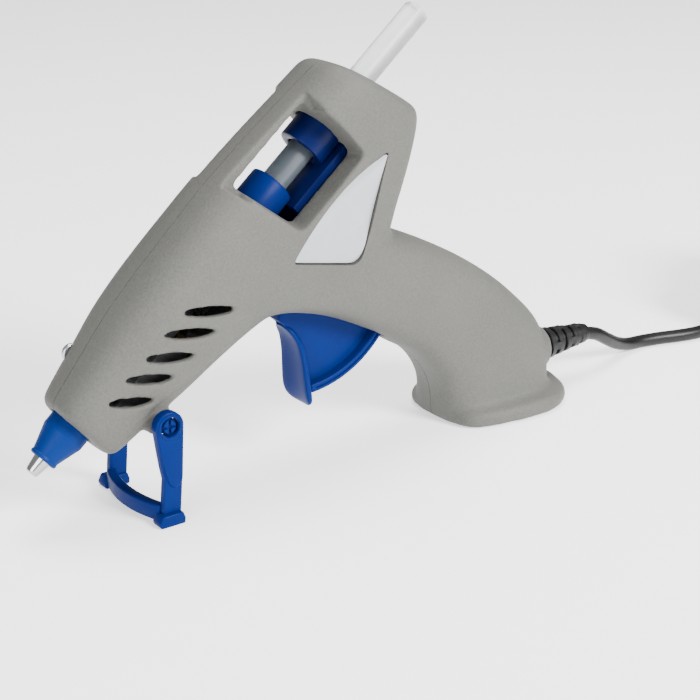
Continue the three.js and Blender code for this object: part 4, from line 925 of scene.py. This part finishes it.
def tongue_outline():
    """The raised upper part of a leg, from the eye to a round end half way down."""
    eye = arc(STAND_PIVOT, EYE_R, -6, 192, 30)
    return (eye[:-1] + bow(eye[-1], (SX - 2.7, SZ - 9), (SX - 1.7, SZ - 12.6), 8)
            + bow((SX - 1.7, SZ - 12.6), (SX - 1.0, SZ - 16.4), (SX + 1.2, SZ - 16.4), 8)
            + bow((SX + 1.2, SZ - 16.4), (SX + 3.0, SZ - 16.2), (SX + 3.1, SZ - 13), 8) + [(SX + 3.1, SZ - 13)])


def stand_side(side):
    near, far = side * STAND_IN, side * (STAND_IN + LEG)
    leg = soften(plate("leg", leg_outline(), *sorted((near, far - side * 0.5))), 0.4, 3)
    merge(leg, soften(plate("tongue", tongue_outline(), *sorted((near + side, far))), 0.45, 3))
    carve(leg, across("eye", STAND_PIVOT, EYE_BORE_R, -20, 20))
    ring = turned_across("eye_ring", STAND_PIVOT, side * (STAND_IN + LEG - 0.3), side * (STAND_IN + LEG + 0.25),
                         EYE_R - 0.6, EYE_BORE_R + 0.05)
    foot = [(SX - 4.2, 0), (SX + 2.6, 0), (SX + 2.8, 1.4), (SX + 2.2, 3.2), (SX - 3.6, 3.2), (SX - 4.6, 1.2)]
    reach = sorted((side * (STAND_IN - 0.6), side * (STAND_IN + LEG + FOOT_OUT)))
    merge(leg, ring, soften(plate("foot_pad", foot, *reach), 0.4, 3))
    return leg


def turned_across(name, centre, y0, y1, outer, inner, sides=64):
    """A ring whose axis lies across the gun, with eased edges on its outer face."""
    ease = 0.15 * (1 if y1 > y0 else -1)
    profile = [(inner, y0), (outer, y0), (outer, y1 - ease), (outer - 0.15, y1), (inner + 0.15, y1),
               (inner, y1 - ease), (inner, y0)]
    return wrapped(name, [[at(centre[0] + r * math.cos(a), y, centre[1] + r * math.sin(a))
                           for a in (2 * math.pi * i / sides for i in range(sides))] for r, y in profile])


def stand_frame():
    half, bowed = STAND_IN + 0.6, 2.4
    front = bow((SX - 3.4, -half), (SX - 3.9 - 2 * bowed, 0), (SX - 3.4, half), 20) + [(SX - 3.4, half)]
    back = bow((SX - 0.8, half), (SX - 0.8 - 2 * bowed, 0), (SX - 0.8, -half), 20) + [(SX - 0.8, -half)]
    bar = soften(plate("stand_frame", front + back, 0.9, 5.3, crosswise=False), 0.5, 3)
    return merge(bar, stand_side(1), stand_side(-1))


finish_piece(stand_frame(), "stand", "blue_plastic", "stand", angle=34)


def snap_pin(side):
    """The pin in the eye: a dished disc with four raised quarters, and its shank in the housing."""
    top = STAND_IN + LEG - 0.2
    radius = EYE_BORE_R - GAP
    pin = soften(across("pin", STAND_PIVOT, radius, STAND_IN, top - 0.7), 0.15, 2)
    quarters = soften(across("quarters", STAND_PIVOT, radius - 0.45, top - 1.2, top), 0.25, 3)
    slit, reach = 0.36, 4
    carve(quarters, block("slit", SX - reach, SX + reach, top - 0.75, top + 1, SZ - slit, SZ + slit, at),
          block("slit", SX - slit, SX + slit, top - 0.75, top + 1, SZ - reach, SZ + reach, at),
          across("dish", STAND_PIVOT, 0.7, top - 0.75, top + 1, 24))
    merge(pin, quarters, across("shank", STAND_PIVOT, radius - 0.8, STAND_IN - 4.6, STAND_IN + 0.5, 32))
    if side < 0:
        other = mirrored(pin, "snap_pin_left")
        bpy.data.objects.remove(pin)
        return other
    pin.name = "snap_pin_right"
    return pin


finish_piece(snap_pin(1), "gun", "blue_plastic", "stand_pin_right", angle=34)
finish_piece(snap_pin(-1), "gun", "blue_plastic", "stand_pin_left", angle=34)

# ------------------------------------------------------------------ strain relief, coil tie and plug
def relief_sleeve():
    """Five rings that shrink towards the cord, bridged by short webs turned a quarter each time."""
    bore, ring_count, begin = CORD_R + GAP, 5, 0.5
    step = (RELIEF_LENGTH - begin) / ring_count
    profile = [(bore, -7), (RELIEF_NECK_R, -7), (RELIEF_NECK_R, -5.1), (RELIEF_FLANGE_R, -5.1),
               (RELIEF_FLANGE_R, -3.1), (RELIEF_NECK_R, -3.1), (RELIEF_NECK_R, begin)]
    cores = []
    for i in range(ring_count):
        r = RELIEF_R + (RELIEF_END_R - RELIEF_R) * i / (ring_count - 1)
        start, core = begin + i * step, max(r - 1.1, bore + 0.5)
        wide = step * 0.62
        profile += [(r - 0.25, start), (r, start + 0.25), (r - 0.08, start + wide - 0.25), (r - 0.3, start + wide)]
        if i < ring_count - 1:
            profile += [(core, start + wide + 0.05), (core, start + step - 0.05)]
            cores.append((r - 0.12, start + wide - 0.3, start + step + 0.3))
    profile += [(RELIEF_END_R - 0.5, RELIEF_LENGTH), (bore, RELIEF_LENGTH), (bore, -7)]
    sleeve = turned("relief_sleeve", [(r, RELIEF_X + u) for r, u in profile], 72, at, (0, RELIEF_Z))
    for i, (r, start, end) in enumerate(cores):
        for side in (1, -1):
            near, far = sorted((side * (bore + 0.2), side * (r - 0.15)))
            if i % 2:
                web = block("web", RELIEF_X + start, RELIEF_X + end, -1.1, 1.1, RELIEF_Z + near, RELIEF_Z + far, at)
            else:
                web = block("web", RELIEF_X + start, RELIEF_X + end, near, far, RELIEF_Z - 1.1, RELIEF_Z + 1.1, at)
            merge(sleeve, web)
    return sleeve


finish_piece(relief_sleeve(), "gun", "black_plastic", "strain_relief", angle=30)


def tie_band():
    """A flat strap round the coil, with rounded corners."""
    inner, outer = COIL["inner"] - GAP, COIL["outer"] + GAP
    top = COIL["base"] + COIL["height"] + GAP
    cosine, sine = math.cos(TIE_TURN), math.sin(TIE_TURN)

    def place(r, y, z):
        return lying(COIL["x"] + r * cosine - y * sine, COIL["y"] + r * sine + y * cosine, z)

    def loop(grow):
        a, b, low, high = inner - grow, outer + grow, TIE - grow, top + grow
        return [((a + b) / 2 + dx, (low + high) / 2 + dz)
                for dx, dz in squircle((b - a) / 2, (high - low) / 2, 48, 9)]

    band = soften(plate("tie_band", loop(TIE), -2, 2, place), 0.2, 2)
    return carve(band, plate("way", loop(0), -3, 3, place))


finish_piece(tie_band(), "gun", "black_plastic", "coil_tie", angle=34)


def plug_body():
    x, y, length, tail, half, height = (PLUG[key] for key in ("x", "y", "length", "tail", "half", "height"))
    side = smooth_rows(((0, tail - 0.6), (8, tail + 1), (16, half - 1.2), (24, half), (length, half)), 5)
    outline = [(x + a, y + b) for a, b in side] + [(x + a, y - b) for a, b in reversed(side)]
    body = soften(plate("plug_body", outline, PLUG_BASE, PLUG_BASE + height, place=lying, crosswise=False),
                  2.2, 5, 50)
    for k in range(4):
        for flank in (1, -1):
            near, far = sorted((flank * (half - 0.7), flank * (half + 2)))
            start = x + 19 + 3 * k
            carve(body, block("grip", start, start + 1.4, y + near, y + far,
                              PLUG_BASE + 3, PLUG_BASE + height - 3, lying))
    return body


finish_piece(plug_body(), "gun", "black_plastic", "plug", angle=34)
for side, name in ((-1, "plug_pin_left"), (1, "plug_pin_right")):
    r, reach = PLUG_PIN["r"], PLUG_PIN["length"]
    start = PLUG["x"] + PLUG["length"] + GAP
    centre = (PLUG["y"] + side * PLUG_PIN["apart"] / 2, PLUG_BASE + PLUG["height"] / 2)
    tip = start + reach
    prong = turned(name + "_prong", [(0.01, start), (r, start), (r, tip - 1.6), (r - 0.15, tip - 1),
                                     (r - 0.6, tip - 0.3), (r - 1.2, tip), (0.01, tip)], 40, lying, centre)
    finish_piece(prong, "gun", "polished_steel", name)

# ------------------------------------------------------------------ floor and light
deselect()
bpy.ops.mesh.primitive_plane_add(size=6, location=(0, 0, 0))
floor = bpy.context.object
floor.name = "floor"
pale = Finish("floor", specular_ior_level=0.2, emission_color=(1, 1, 1, 1), emission_strength=0.9)
paper = pale.shade(pale.noise(300, 2), (0.88, 0.88, 0.88), (0.91, 0.91, 0.91))
floor.data.materials.append(pale.wear(base_color=paper, roughness=0.7 + 0.1 * pale.noise(40, 2)))


def lamp(name, place, aim_at, size, power, shade=(1, 1, 1)):
    deselect()
    bpy.ops.object.light_add(type="AREA", location=place)
    light = bpy.context.object
    light.name = name
    light.data.size = size
    light.data.energy = power
    light.data.color = shade
    light.rotation_euler = (Vector(aim_at) - Vector(place)).to_track_quat("-Z", "Y").to_euler()


lamp("key", (0.3, -0.8, 0.6), (0, 0, 0.06), 0.35, 26)
lamp("fill", (-0.75, -0.45, 0.3), (-0.03, 0, 0.05), 0.5, 7, (0.95, 0.97, 1))
lamp("top", (0.15, 0.15, 0.95), (0, 0, 0.03), 0.5, 11)
world = bpy.data.worlds.new("studio")
world.use_nodes = True
world.node_tree.nodes["Background"].inputs["Color"].default_value = (0.95, 0.97, 1, 1)
world.node_tree.nodes["Background"].inputs["Strength"].default_value = 0.45
bpy.context.scene.world = world
